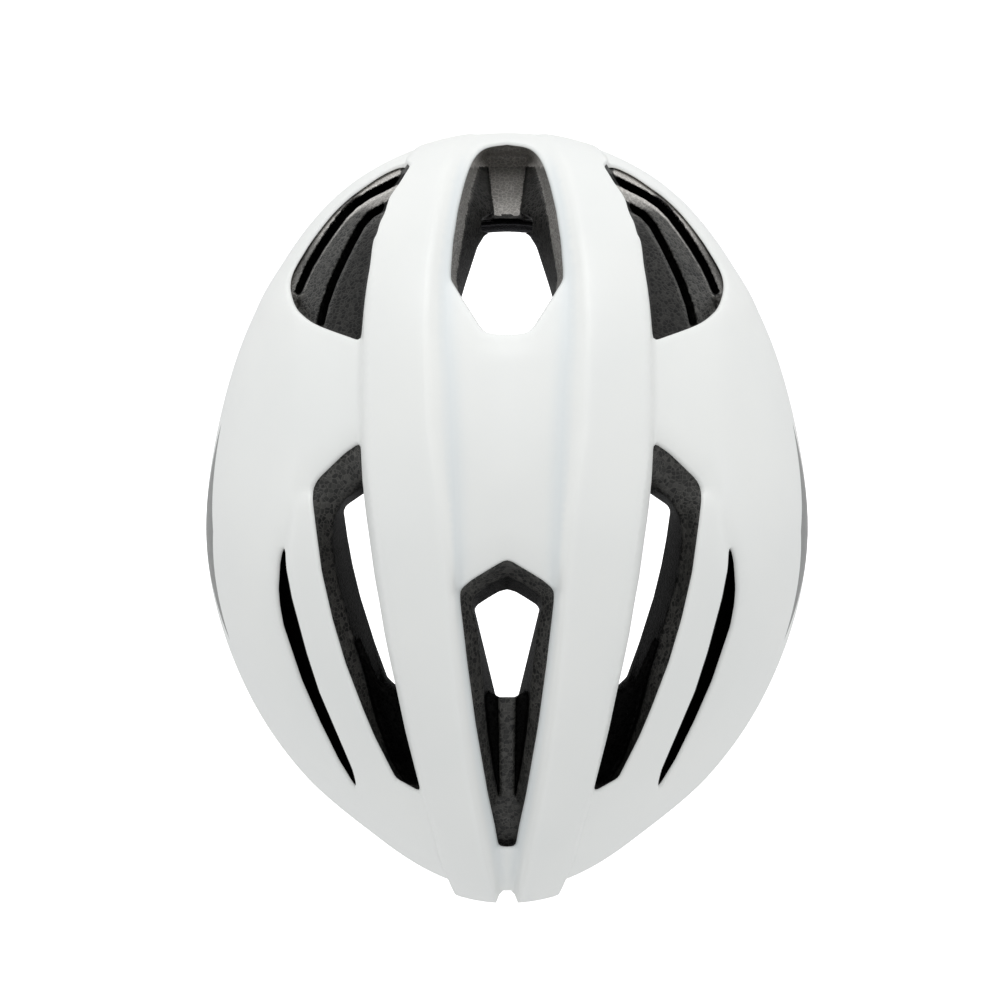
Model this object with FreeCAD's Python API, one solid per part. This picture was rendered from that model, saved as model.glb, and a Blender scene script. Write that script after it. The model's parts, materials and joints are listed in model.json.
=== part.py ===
import FreeCAD, Part
import os
from math import sin, cos, tan, atan2, sqrt, pi, radians, degrees, hypot

# A vented helmet: two shell parts over a foam liner, comfort pads, a dial-adjusted head band
# and a chin strap with a magnetic side-slide buckle.
# Frame (mm): +Z up, the wearer looks along -Y, the wearer's left is +X, X = 0 is the mid
# plane and Z = 0 is the rim plane.

Vector = FreeCAD.Vector
X_DIR, Y_DIR, Z_DIR = Vector(1, 0, 0), Vector(0, 1, 0), Vector(0, 0, 1)
os.makedirs("parts", exist_ok=True)

# ---------------------------------------------------------------- sizes shared by sections
PIVOT_Y, PIVOT_Z = 14.0, 28.0      # temple pin axis, parallel to X
PIN_R = 3.0                        # temple pin radius
SOCKET_R = 6.5                     # temple socket radius
DIAL_Z = -30.0                     # dial axis height, the axis runs along Y at X = 0
WEB_W, WEB_T = 16.0, 1.6           # webbing width and thickness
CUT_TOP = 170.0                    # top of every vertical cutter, clear of the crown


# ---------------------------------------------------------------- general helpers
def smooth(t):
    t = min(1.0, max(0.0, t))
    return t * t * (3 - 2 * t)


def interp(x, stations, values):
    """Piecewise linear value at x, held constant beyond both ends."""
    if x <= stations[0]:
        return values[0]
    for i in range(1, len(stations)):
        if x <= stations[i]:
            part = (x - stations[i - 1]) / (stations[i] - stations[i - 1])
            return values[i - 1] + part * (values[i] - values[i - 1])
    return values[-1]


def lerp(start, end, part):
    return start + (end - start) * part


def raised(point, height):
    return point + Vector(0, 0, height)


def flipped(point):
    return Vector(-point.x, point.y, point.z)


def closed_wire(points):
    return Part.makePolygon(points + [points[0]])


def prism_xy(outline, bottom, top=CUT_TOP):
    face = Part.Face(closed_wire([Vector(x, y, bottom) for x, y in outline]))
    return face.extrude(Vector(0, 0, top - bottom))


def prism_yz(outline, x_min, x_max):
    face = Part.Face(closed_wire([Vector(x_min, y, z) for y, z in outline]))
    return face.extrude(Vector(x_max - x_min, 0, 0))


def mirror(shape):
    return shape.mirror(Vector(0, 0, 0), X_DIR)


def pair(shape):
    return [shape, mirror(shape)]


def whole(half):
    """Full outline from its X >= 0 half."""
    return half + [(-x, y) for x, y in reversed(half) if abs(x) > 1e-6]


def box(x_min, x_max, y_min, y_max, z_min, z_max, origin=Vector(0, 0, 0)):
    corner = origin + Vector(x_min, y_min, z_min)
    return Part.makeBox(x_max - x_min, y_max - y_min, z_max - z_min, corner)


def cyl(radius, start, direction, length):
    return Part.makeCylinder(radius, length, Vector(*start), Vector(*direction))


def cyl_y(radius, y, length, x=0.0, z=DIAL_Z):
    """Cylinder along +Y from y, on the dial axis unless placed elsewhere."""
    return cyl(radius, (x, y, z), Y_DIR, length)


def cyl_pivot(radius, x, length):
    """Cylinder along +X from x on the temple pin axis."""
    return cyl(radius, (x, PIVOT_Y, PIVOT_Z), X_DIR, length)


def ring(inner_r, outer_r, bottom, top, start, end):
    """Sector about the vertical axis at (0, PIVOT_Y); degrees from +Y towards +X."""
    height = top - bottom
    sector = Part.makeCylinder(outer_r, height, Vector(0, PIVOT_Y, bottom), Z_DIR, end - start)
    sector = sector.cut(cyl(inner_r, (0, PIVOT_Y, bottom - 1), Z_DIR, height + 2))
    sector.rotate(Vector(0, PIVOT_Y, 0), Z_DIR, 90 - end)
    return sector


def dial_ring(inner_r, outer_r, half_height, start, end):
    """Ring sector centred on the dial height."""
    return ring(inner_r, outer_r, DIAL_Z - half_height, DIAL_Z + half_height, start, end)


def pivot_arc(inner_r, outer_r, start, end, half_width):
    """Sector about the temple axis; degrees above the +Y direction."""
    sector = Part.makeCylinder(outer_r, 2 * half_width, Vector(-half_width, PIVOT_Y, PIVOT_Z),
                               X_DIR, end - start)
    sector = sector.cut(cyl_pivot(inner_r, -half_width - 1, 2 * half_width + 2)).Solids[0]
    # The sector is turned from wherever its centre lies to the wanted middle angle.
    centre = sector.CenterOfMass
    current = degrees(atan2(centre.z - PIVOT_Z, centre.y - PIVOT_Y))
    sector.rotate(Vector(0, PIVOT_Y, PIVOT_Z), X_DIR, (start + end) / 2.0 - current)
    return sector


def biggest(shape):
    return max(shape.Solids, key=lambda solid: solid.Volume)


def save(name, shape):
    solids = shape.Solids
    shape = solids[0] if len(solids) == 1 else Part.makeCompound(solids)
    shape.exportStep("parts/%s.step" % name)


def save_pair(name, left):
    save(name + "_left", left)
    save(name + "_right", mirror(left))


# ---------------------------------------------------------------- shell and head surfaces
# Cosine series are in the heading angle, 0 at the front.
CROWN_Z = 148.0                    # top of the shell
PLAN_RADIUS = [120.693, 4.173, 13.628, 0.07, 2.038, -1.214, 0.464, -0.333, 0.34, -0.179]
WAIST_Z = [37.684, -16.266, -0.967, -3.658, 2.667, -1.048]    # height of the widest ring
FULLNESS = [2.1171, -0.0915, -0.0822, -0.0028, 0.0012]        # section exponent
TUCK_LEN = 55.0                    # length scale of the inward tuck below the widest ring
HEAD_PLAN = [92.861, 4.131, 12.217, 1.7, -0.085, 0.237, 0.011]
HEAD_WAIST_Z = 32.0
HEAD_TOP_Z = 118.0
HEAD_FULLNESS = 2.12
PATCH_HALF = 2.12                  # half size of the square patch, radians of arc
FINE_GRID, COARSE_GRID = 56, 40    # grid points per side of a patch

# Rail edges: lengthwise angle in degrees (0 at the crown, negative to the front), then |X|.
RAIL_H = 4.2                       # height of the two raised rails
RAIL_FOOT = (                      # inner edge, where the rise starts
    [-86, -75, -67, -58, -50, -43, -31, -22, -13, -3, 6, 12, 23, 33, 45, 54, 63, 80],
    [9.5, 12.9, 15.2, 17.7, 18.9, 19.4, 18.9, 17.3, 16.9, 16.2, 15.5, 15.8, 13.7, 10.8, 6.8,
     3.2, 2.6, 2.4])
RAIL_CREST = (                     # inner edge, where the rise ends
    [-86, -76, -68, -57, -44, -32, -15, -2, 9, 19, 30, 39, 51, 64, 80],
    [14.2, 17.6, 20.6, 23.4, 26.0, 26.3, 25.3, 21.8, 19.4, 17.7, 15.2, 12.6, 8.4, 4.4, 3.4])
RAIL_OUTER = (                     # middle of the outer slope
    [-90, -82, -70, -63, -59, -53, -45, -35, -22, -14, -7, 0, 11, 21, 29, 36, 45, 54, 68, 85],
    [33.0, 34.3, 40.3, 43.7, 45.4, 47.2, 49.1, 50.3, 50.6, 50.1, 49.3, 47.7, 45.1, 42.1, 38.3,
     35.4, 31.2, 26.4, 21.6, 19.0])


def cosine_sum(coefficients, angle):
    return sum(a * cos(k * angle) for k, a in enumerate(coefficients))


def dome_section(tilt, width, height, fullness):
    """Radius and rise on a superellipse that rounds off to an ellipse near the crown."""
    power = 2 + (fullness - 2) * smooth(tilt / 0.9)
    sine, cosine = sin(tilt), max(cos(tilt), 1e-12)
    reach = ((sine / width) ** power + (cosine / height) ** power) ** (-1 / power)
    return reach * sine, reach * cosine


def shell_section(tilt, heading):
    width = cosine_sum(PLAN_RADIUS, heading)
    waist = cosine_sum(WAIST_Z, heading)
    if tilt <= pi / 2:
        fullness = cosine_sum(FULLNESS, heading)
        radius, rise = dome_section(tilt, width, CROWN_Z - waist, fullness)
        return radius, waist + rise
    drop = width * (tilt - pi / 2)
    tuck = 0.5 - 0.28 * cos(heading)
    return width - tuck * (sqrt(drop * drop + TUCK_LEN ** 2) - TUCK_LEN), waist - drop


def head_section(tilt, heading, offset):
    width = cosine_sum(HEAD_PLAN, heading) + offset
    if tilt <= pi / 2:
        height = HEAD_TOP_Z - HEAD_WAIST_Z + offset
        radius, rise = dome_section(tilt, width, height, HEAD_FULLNESS)
        return radius, HEAD_WAIST_Z + rise
    return width, HEAD_WAIST_Z - width * (tilt - pi / 2)


def place(section, across, along):
    """Point of a section function at patch coordinates, radians of arc from the crown."""
    heading = atan2(across, -along)
    radius, z = section(hypot(across, along), abs(heading))
    return Vector(radius * sin(heading), -radius * cos(heading), z)


def base_point(across, along):
    return place(shell_section, across, along)


def base_normal(across, along):
    step = 1e-3
    d_across = base_point(across + step, along) - base_point(across - step, along)
    d_along = base_point(across, along + step) - base_point(across, along - step)
    normal = d_along.cross(d_across)
    normal.normalize()
    if normal.dot(raised(base_point(across, along), -40)) < 0:
        normal = normal * -1
    return normal


def rail_height(point):
    if point.z < 30:
        angle = -90.0 if point.y < 0 else 90.0
    else:
        angle = degrees(atan2(point.y, point.z - 30.0))
    foot, crest, outer = [interp(angle, *edge) for edge in (RAIL_FOOT, RAIL_CREST, RAIL_OUTER)]
    x = abs(point.x)
    rise = smooth((x - foot) / max(crest - foot, 3.0))
    rise *= 1 - smooth((x - (outer - 3.0)) / 6.0)
    fade = smooth((point.z - 5.0) / 30.0) if point.y < 0 else smooth((point.z - 40.0) / 40.0)
    return RAIL_H * rise * fade


def patch(point_at, count):
    steps = [-PATCH_HALF + 2 * PATCH_HALF * i / (count - 1) for i in range(count)]
    surface = Part.BSplineSurface()
    surface.interpolate([[point_at(across, along) for along in steps] for across in steps])
    return surface


def shell_patch(offset, count=FINE_GRID):
    """Outer surface with its rails, moved outwards by offset."""
    def point_at(across, along):
        point = base_point(across, along)
        return point + base_normal(across, along) * (rail_height(point) + offset)
    return patch(point_at, count)


def head_patch(offset):
    """Head cavity surface, grown by offset."""
    def section(tilt, heading):
        return head_section(tilt, heading, offset)
    return patch(lambda across, along: place(section, across, along), COARSE_GRID)


def cap(outer, inner):
    """Closed solid between two patches."""
    faces = [outer.toShape(), inner.toShape()]
    out, inn = outer.bounds(), inner.bounds()
    for k in (0, 1):
        faces.append(Part.makeRuledSurface(outer.uIso(out[k]).toShape(),
                                           inner.uIso(inn[k]).toShape()))
        faces.append(Part.makeRuledSurface(outer.vIso(out[2 + k]).toShape(),
                                           inner.vIso(inn[2 + k]).toShape()))
    skin_shell = Part.makeShell(faces)
    skin_shell.sewShape()
    solid = Part.makeSolid(skin_shell)
    if solid.Volume < 0:
        solid.reverse()
    return solid


# ---------------------------------------------------------------- outlines
# Side profiles (Y, Z): the bottom rim, and the parting between upper and lower shell.
RIM = [(-150, 0), (-100, 0), (-88, 3), (-72, 10), (-55, 14), (-30, 15), (10, 14), (30, 10),
       (46, 3), (58, 0), (100, 0), (112, 4), (122, 9), (150, 16)]
PARTING = [(-150, 14), (-120, 14), (-100, 18), (-60, 26), (-20, 28), (20, 30), (60, 42),
           (90, 52), (115, 50), (150, 45)]

# Openings in plan (X, Y). Those that run from X = 0 to X = 0 are left halves of a central
# opening; the others are left openings with a mirrored twin.
INTAKE = [
    (0, -137.4), (5.1, -137.4), (8, -136.1), (10.5, -133.5), (12.9, -128.9), (15.2, -120.4),
    (16.8, -112.4), (18.9, -95.4), (19.5, -86.6), (19.4, -83.3), (15.1, -76.8), (13.7, -74.3),
    (9.4, -67.3), (7.5, -65.5), (2.7, -63.9), (0, -63.7)]
LOUVRE = [
    (36.5, -129.5), (45.7, -124.0), (56.5, -116.0), (66.0, -105.0), (70.4, -98.6),
    (76.2, -88.2), (77.2, -82.7), (75.0, -74.9), (70.4, -70.2), (63.0, -66.9), (50.9, -62.0),
    (49.5, -79.4), (47.6, -92.2), (44.0, -107.3), (40.6, -117.2)]
SIDE = [
    (50.9, -26.3), (55.9, -23.1), (64.8, -14.7), (66.6, -11.8), (67.2, -6.8), (66.2, 1.4),
    (63.9, 18.1), (60.3, 34.2), (55.8, 49.7), (50.0, 65.6), (46.0, 75.4), (39.0, 89.8),
    (34.5, 95.5), (30.9, 98.5), (30.6, 94.0), (31.4, 89.1), (35.6, 71.9), (40.1, 51.5),
    (42.3, 39.8), (45.3, 20.4), (47.9, 0.3), (49.6, -13.6)]
SLIT = [
    (76.4, 11.0), (77.2, 9.3), (78.1, 11.0), (79.0, 14.8), (79.7, 23.8), (79.3, 29.7),
    (78.1, 37.0), (71.8, 56.1), (65.8, 70.5), (59.3, 84.4), (54.3, 93.0), (53.1, 94.0),
    (53.2, 91.4), (54.2, 87.0), (65.3, 59.4), (69.4, 45.8), (74.4, 26.8), (76.1, 17.5)]
REAR = [
    (0, 13.7), (6.7, 17.1), (12.5, 20.7), (15.9, 24.0), (16.0, 28.4), (13.7, 48.4),
    (10.8, 70.1), (6.8, 94.3), (4.2, 106.6), (2.8, 112.5), (0, 112.9)]
# Smaller holes that go right through the foam.
HOLE_SIDE = [
    (53.6, -9.5), (58.6, -6.0), (59.0, -1.0), (57.5, 9.0), (55.6, 18.0), (53.4, 28.0),
    (49.3, 42.0), (45.0, 53.0), (42.0, 58.0), (42.4, 52.0), (44.5, 42.0), (46.6, 28.0),
    (49.0, 15.0), (51.3, 0.0)]
HOLE_FRONT = [
    (0, -104.5), (4.0, -104.0), (8.5, -102.5), (11.0, -98.0), (13.2, -90.0), (14.8, -80.0),
    (15.0, -77.0), (13.0, -74.0), (9.0, -68.5), (7.0, -66.8), (0, -66.0)]
HOLE_REAR = [
    (0, 25.5), (5.5, 27.5), (9.5, 31.0), (11.7, 32.5), (8.8, 46.0), (5.0, 60.0), (3.0, 62.5),
    (0, 62.5)]
LOUVRE_SLOTS = [
    [(44.5, -117.0), (50.5, -112.5), (57.5, -106.5), (64.5, -97.5), (70.0, -86.5),
     (73.0, -78.0), (70.2, -77.0), (66.5, -85.5), (61.5, -94.5), (55.0, -103.5),
     (48.5, -109.5), (44.5, -112.5)],
    [(46.5, -107.5), (51.0, -104.0), (56.0, -97.0), (60.5, -88.0), (63.5, -78.5),
     (64.5, -71.5), (61.5, -71.5), (60.0, -78.5), (57.0, -87.0), (52.5, -95.0),
     (48.0, -101.0)]]
REAR_FLOOR, SIDE_FLOOR, SLIT_FLOOR = 70, 60, 70    # lower ends of these cutters


def above(profile, lift=0.0):
    """Block above a side profile."""
    return prism_yz([(y, z + lift) for y, z in profile] + [(150, 200.0), (-150, 200.0)],
                    -150, 150)


# ---------------------------------------------------------------- shells
SHELL_T = 1.2                      # skin thickness

skin = cap(shell_patch(0.0), shell_patch(-SHELL_T))
side_cutters = pair(prism_xy(SIDE, SIDE_FLOOR)) + pair(prism_xy(SLIT, SLIT_FLOOR))
shell_cutters = [prism_xy(whole(INTAKE), 30), prism_xy(whole(REAR), REAR_FLOOR)]
shell_cutters += pair(prism_xy(LOUVRE, 38)) + side_cutters
upper = biggest(skin.common(above(PARTING, 0.1)))
save("outer_shell", biggest(upper.cut(Part.makeCompound(shell_cutters))))
save("lower_shell", biggest(skin.common(prism_yz(RIM + PARTING[::-1], -150, 150))))

# ---------------------------------------------------------------- foam liner, strap anchors
SKIN_GAP = 0.05                    # skin to foam
POCKET_DEPTH = 15.0                # vent pockets, measured from the shell surface
# x, y, heading from the front in degrees, pocket floor Z, anchor floor Z
FRONT_ANCHOR = (86.0, -40.0, 70.0, 11.6, 15.2)
REAR_ANCHOR = (76.0, 60.0, 128.0, -3.0, 0.4)


def turned(shape, x, y, z, heading):
    """Shape turned about Z at the origin, then moved into place."""
    shape.rotate(Vector(0, 0, 0), Z_DIR, heading)
    shape.translate(Vector(x, y, z))
    return shape


def anchor_block(gap, height):
    return box(-10 - gap, 10 + gap, -4.2 - gap, 4.2 + gap, 0, height + gap)


def strap_anchor(x, y, heading, floor):
    half_slot = WEB_W / 2 + 0.4
    slot = turned(box(-half_slot, half_slot, -1.2, 1.2, -1, 5.0), x, y, floor, heading)
    return turned(anchor_block(0.0, 6.0), x, y, floor, heading).cut(slot)


def foam_cutters():
    # Vent pockets, a little narrower than the shell openings.
    depth_limit = cap(shell_patch(1.0, COARSE_GRID), shell_patch(-POCKET_DEPTH, COARSE_GRID))
    intake = [(x * 0.94, y + (1.5 if y < -130 else 0)) for x, y in INTAKE]
    rear = [(x * 0.92, y) for x, y in REAR]
    vents = [prism_xy(whole(intake), 33), prism_xy(whole(rear), REAR_FLOOR)] + side_cutters
    cutters = [depth_limit.common(vent) for vent in vents]
    cutters += [prism_xy(whole(HOLE_FRONT), 40), prism_xy(whole(HOLE_REAR), 60)]
    cutters += pair(prism_xy(HOLE_SIDE, 60))
    for slot in LOUVRE_SLOTS:
        cutters += pair(prism_xy(slot, 44))
    # Recess for the height track and stem.
    recess = cyl_pivot(93.6, -12.5, 25.0).cut(cyl_pivot(80.0, -13.5, 27.0))
    cutters.append(recess.common(box(-13, 13, 60, 130, -40, 66)))
    for side in (1, -1):
        cutters.append(cyl(SOCKET_R + 0.1, (side * 78.0, PIVOT_Y, PIVOT_Z), (side, 0, 0), 12.2))
    for x, y, heading, pocket_floor, _ in (FRONT_ANCHOR, REAR_ANCHOR):
        cutters += pair(turned(anchor_block(0.1, 10.0), x, y, pocket_floor, heading))
    return cutters


foam = cap(shell_patch(-SHELL_T - SKIN_GAP), head_patch(0.0)).common(above(RIM))
save("foam_liner", biggest(foam.cut(Part.makeCompound(foam_cutters()))))

anchors = []
for x, y, heading, _, floor in (FRONT_ANCHOR, REAR_ANCHOR):
    anchors += pair(strap_anchor(x, y, heading, floor))
save("strap_anchors", Part.makeCompound(anchors))

# ---------------------------------------------------------------- pads and hook dots
PAD_T, DOT_T = 4.4, 0.7
DOT_R = 6.0
PAD_OFFSET = -DOT_T - 0.25         # outer face of the pads from the head surface
DOT_OFFSET = -0.05                 # outer face of the dots
BROW_PAD = [(0, -140), (30, -136), (62, -112), (78, -86), (60, -70), (30, -80), (0, -84)]
SIDE_PAD = [(-62, 20), (-58, 42), (-30, 52), (-12, 50), (-8, 38), (-12, 26), (-34, 22)]  # Y, Z


def capsule(x_mid, y_mid, width, length, turn=0.0, steps=8):
    """Round-ended outline, long along Y before it is turned."""
    radius = width / 2.0
    cosine, sine = cos(radians(turn)), sin(radians(turn))
    outline = []
    for end, start in ((1, 0.0), (-1, pi)):
        for k in range(steps + 1):
            angle = start + pi * k / steps
            x, y = radius * cos(angle), end * (length / 2 - radius) + radius * sin(angle)
            outline.append((x_mid + x * cosine - y * sine, y_mid + x * sine + y * cosine))
    return outline


pad_layer = cap(head_patch(PAD_OFFSET), head_patch(PAD_OFFSET - PAD_T))
save("crown_pad", biggest(pad_layer.common(prism_xy(capsule(0, -22, 20, 66), 60, 140))))
save_pair("top_pad", biggest(pad_layer.common(prism_xy(capsule(32, -18, 17, 92, 5), 60, 140))))
save("brow_pad", biggest(pad_layer.common(prism_xy(whole(BROW_PAD), 8.0, 27.0))))
save_pair("side_pad", biggest(pad_layer.common(prism_yz(SIDE_PAD, 40, 100))))

# Each dot is cut from the dot layer by a rod: start, direction, length.
dot_rods = [((x, y, 60), Z_DIR, 80) for x, y in ((0, -42), (0, -4), (32, -48), (31, 6))]
for angle in (0, radians(32)):
    out_x, out_y = sin(angle), -cos(angle)
    dot_rods.append(((80 * out_x, 80 * out_y, 17.5), (out_x, out_y, 0), 60))
dot_rods.append(((60, -34, 36), X_DIR, 60))

dot_layer = cap(head_patch(DOT_OFFSET), head_patch(DOT_OFFSET - DOT_T))
dots = []
for start, direction, length in dot_rods:
    dot = dot_layer.common(cyl(DOT_R, start, direction, length))
    dots += dot.Solids
    if start[0]:
        dots += mirror(dot).Solids
save("pad_hook_dots", Part.makeCompound(dots))

# ---------------------------------------------------------------- temple sockets and pins
PIN_HEAD_R = 4.6

save_pair("temple_socket",
          cyl_pivot(SOCKET_R, 79.2, 10.9).cut(cyl_pivot(PIN_R + 0.02, 78, 8.1)))
# The pin carries a head and a collar, with the size bands between them.
pin = cyl_pivot(PIN_R, 74.2, 11.6).fuse(cyl_pivot(PIN_HEAD_R, 73.0, 2.0))
save_pair("temple_pin", pin.fuse(cyl_pivot(PIN_HEAD_R, 78.0, 1.1)).removeSplitter())

# ---------------------------------------------------------------- dial pinion
GEAR_MODULE = 1.0
GEAR_TEETH = 9
PITCH_R = GEAR_MODULE * GEAR_TEETH / 2.0
PITCH = pi * GEAR_MODULE
TOOTH_HALF = 0.62                  # half thickness of a rack tooth at the pitch line
ADDENDUM, DEDENDUM = 0.85, 1.05
FLANK_SLOPE = tan(radians(20))
SHAFT_R = 2.4
SHAFT_HOLE_R = SHAFT_R + 0.05      # with running clearance


def in_rack(x, y):
    """True inside a rack above the pinion, teeth down, centred at (k + 0.5) * PITCH."""
    height = y - PITCH_R
    if height < -ADDENDUM - 0.05:
        return False
    if height > DEDENDUM:
        return True
    off_centre = abs((x / PITCH) % 1.0 - 0.5) * PITCH
    return off_centre < TOOTH_HALF + height * FLANK_SLOPE + 0.06


def swept_by_rack(radius, angle):
    """True if the rack passes over this pinion point while rolling 70 degrees each way."""
    for k in range(-70, 71):
        roll = radians(k)
        turn = pi / 2 - angle + roll
        if in_rack(radius * cos(turn) + PITCH_R * roll, radius * sin(turn)):
            return True
    return False


def pinion_profile(steps=24):
    """(angle, radius) points of the pinion, generated against the rack tooth."""
    half_tooth = []
    for i in range(steps):
        angle = pi / GEAR_TEETH * i / steps
        radius = PITCH_R + ADDENDUM
        while radius > 3.15 and swept_by_rack(radius, angle):
            radius -= 0.04
        half_tooth.append((angle, radius))
    profile = []
    for k in range(GEAR_TEETH):
        centre = 2 * pi * k / GEAR_TEETH
        profile += [(centre - angle, radius) for angle, radius in reversed(half_tooth[1:])]
        profile += [(centre + angle, radius) for angle, radius in half_tooth]
    return profile


gear_points = [Vector(radius * sin(angle), 89.5, DIAL_Z + radius * cos(angle))
               for angle, radius in pinion_profile()]
pinion = Part.Face(closed_wire(gear_points)).extrude(Vector(0, 2.5, 0))
pinion = pinion.fuse(cyl_y(SHAFT_R, 87.6, 14.0))
save("dial_pinion", pinion.cut(cyl_y(1.05, 93.0, 20.0)).removeSplitter())

# ---------------------------------------------------------------- size bands with racks
BAND_RI, BAND_RO = 75.6, 77.6      # radii about the vertical axis at (0, PIVOT_Y)
RACK_R = (BAND_RI + BAND_RO) / 2   # rack pitch radius about the same axis
TOOTH_STEP = degrees(PITCH / RACK_R)
RACK_END = 13.5                    # degrees
RACK_STRIP_H = 3.2
BAND_START = 33.0                  # degrees, where the rack strip meets the wide band
PIN_SLOT_HALF = 9.0                # half length of the temple pin slot, degrees
PIN_SLOT_R = PIN_R + 0.15
LIGHT_HOLE_R = 2.6
# Band centre line from back to front: y, z, half height.
BAND_FRONT = [(30, 20, 6.5), (22, 25, 7), (14, 28, 7.5), (0, 28, 7.5), (-12, 28, 7.5)]
UPPER_BAND = [(75, -21, 4.5), (66, -12, 6), (54, 0, 6.5), (42, 11, 6.5)] + BAND_FRONT
LOWER_BAND = [(75, -33, 4.5), (66, -22, 6), (54, -6, 6.5), (42, 8, 6.5)] + BAND_FRONT


def radial_cyl(radius, out_x, out_y, z):
    """Cylinder through the band wall along a horizontal unit direction."""
    return cyl(radius, (out_x * 70, PIVOT_Y + out_y * 70, z), (out_x, out_y, 0), 12)


def rack(side, tooth_shift):
    """Rack strip at the back of the head; side 1 is above the pinion, -1 below it."""
    root = DIAL_Z + (PITCH_R + DEDENDUM) * side
    edge = root + RACK_STRIP_H * side
    strip = ring(BAND_RI, BAND_RO, min(root, edge), max(root, edge), -RACK_END,
                 BAND_START + 1.0)
    half_root = TOOTH_HALF + DEDENDUM * FLANK_SLOPE
    half_tip = TOOTH_HALF - ADDENDUM * FLANK_SLOPE
    tip = DIAL_Z + (PITCH_R - ADDENDUM) * side
    sunk = root + 0.3 * side       # teeth sink into the strip
    teeth = []
    for k in range(-7, 8):
        angle = (k + tooth_shift) * TOOTH_STEP
        if abs(angle) > RACK_END - 0.8:
            continue
        tooth = Part.Face(closed_wire([
            Vector(-half_root, 0, sunk), Vector(-half_tip, 0, tip),
            Vector(half_tip, 0, tip), Vector(half_root, 0, sunk)])).extrude(Vector(0, 12, 0))
        tooth.translate(Vector(0, PIVOT_Y + 70, 0))
        tooth.rotate(Vector(0, PIVOT_Y, 0), Z_DIR, -angle)
        teeth.append(tooth)
    wall = dial_ring(BAND_RI, BAND_RO, 12, -RACK_END - 2, RACK_END + 2)
    return strip.fuse(Part.makeCompound(teeth).common(wall).Solids)


def size_band(side, tooth_shift, stations, rear_light_z):
    """Band on the +X side of the head."""
    rack_z = DIAL_Z + (PITCH_R + DEDENDUM + RACK_STRIP_H / 2) * side
    stations = [(y, rack_z, RACK_STRIP_H / 2) for y in (90, 80.0)] + stations
    outline = [(y, z + half) for y, z, half in stations]
    outline += [(y, z - half) for y, z, half in reversed(stations)]
    body = ring(BAND_RI, BAND_RO, -60, 60, BAND_START, 105.5).common(prism_yz(outline, -5, 100))
    band = rack(side, tooth_shift).fuse(body)

    slot = ring(BAND_RI - 1, BAND_RO + 1, PIVOT_Z - PIN_SLOT_R, PIVOT_Z + PIN_SLOT_R,
                90 - PIN_SLOT_HALF, 90 + PIN_SLOT_HALF).common(box(60, 90, -40, 60, 0, 60))
    ends = [radial_cyl(PIN_SLOT_R, sin(angle), cos(angle), PIVOT_Z)
            for angle in (radians(90 - PIN_SLOT_HALF), radians(90 + PIN_SLOT_HALF))]
    band = band.cut(Part.makeCompound([slot] + ends))

    for y, z in ((60.0, rear_light_z), (36.0, 15.0)):
        out = Vector(sqrt(RACK_R ** 2 - (y - PIVOT_Y) ** 2), y - PIVOT_Y, 0)
        out.normalize()
        band = band.cut(radial_cyl(LIGHT_HOLE_R, out.x, out.y, z))
    return biggest(band.removeSplitter())


save("band_left", size_band(1, 0.5, UPPER_BAND, -7.0))
save("band_right", mirror(size_band(-1, 0, LOWER_BAND, -15.0)))

# ---------------------------------------------------------------- cradle frame and housing
STEM_RI, STEM_RO = 89.0, 91.0      # height stem radii about the temple axis
CRADLE_HALF_H = 12.0
HOUSING_RI, HOUSING_RO = 78.4, 80.4
HOUSING_END = 21                   # degrees
SCREW_XS, SCREW_R = (-17.0, 17.0), 0.9
SCREW_Z = DIAL_Z + 10.85
# Foot that joins the plate to the stem (Y, Z).
FOOT = [(87.6, -19.5), (89.1, -19.5), (89.1, -17.8), (93.4, -17.8), (93.4, -15.0),
        (91.4, -14.4), (89.0, -16.0), (87.6, -18.0)]


def cradle_frame():
    stem = pivot_arc(STEM_RI, STEM_RO, -30.0, 9.0, 6.5)
    for angle in (-3.0, 1.0, 5.0):
        stem = stem.cut(pivot_arc(STEM_RI - 1, STEM_RO + 1, angle - 0.7, angle + 0.7, 3.0))
    plate = dial_ring(73.4, 75.2, CRADLE_HALF_H, -25, 25)
    frame = plate.fuse(prism_yz(FOOT, -8, 8)).fuse(stem)
    frame = frame.cut(cyl_y(SHAFT_HOLE_R, 80, 10.0))
    for x in SCREW_XS:
        boss_y = PIVOT_Y + sqrt(74.0 ** 2 - x * x) + 0.6
        boss = cyl_y(1.9, boss_y, 2.2, x, SCREW_Z)
        frame = frame.fuse(boss.common(ring(73.4, 78.2, -60, 0, -25, 25)))
        frame = frame.cut(cyl_y(SCREW_R + 0.03, 80, 20, x, SCREW_Z))
    return biggest(frame.removeSplitter())


def dial_housing():
    lip_z = 9.2                    # lips run along the top and bottom edges
    housing = dial_ring(HOUSING_RI, HOUSING_RO, CRADLE_HALF_H, -HOUSING_END, HOUSING_END)
    for low, high in ((lip_z, CRADLE_HALF_H), (-CRADLE_HALF_H, -lip_z)):
        housing = housing.fuse(ring(75.5, 79, DIAL_Z + low, DIAL_Z + high,
                                    -HOUSING_END, HOUSING_END))
    housing = housing.cut(cyl_y(SHAFT_HOLE_R, 80, 20.0))
    for x in SCREW_XS:
        housing = housing.cut(cyl_y(2.05, 70, 20.3, x, SCREW_Z))
        housing = housing.cut(cyl_y(SCREW_R + 0.1, 80, 20, x, SCREW_Z))
        housing = housing.cut(box(x - 2.4, x + 2.4, 70, 89.6, DIAL_Z + 8.7,
                                  DIAL_Z + CRADLE_HALF_H + 0.01))
    return biggest(housing.removeSplitter())


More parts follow.
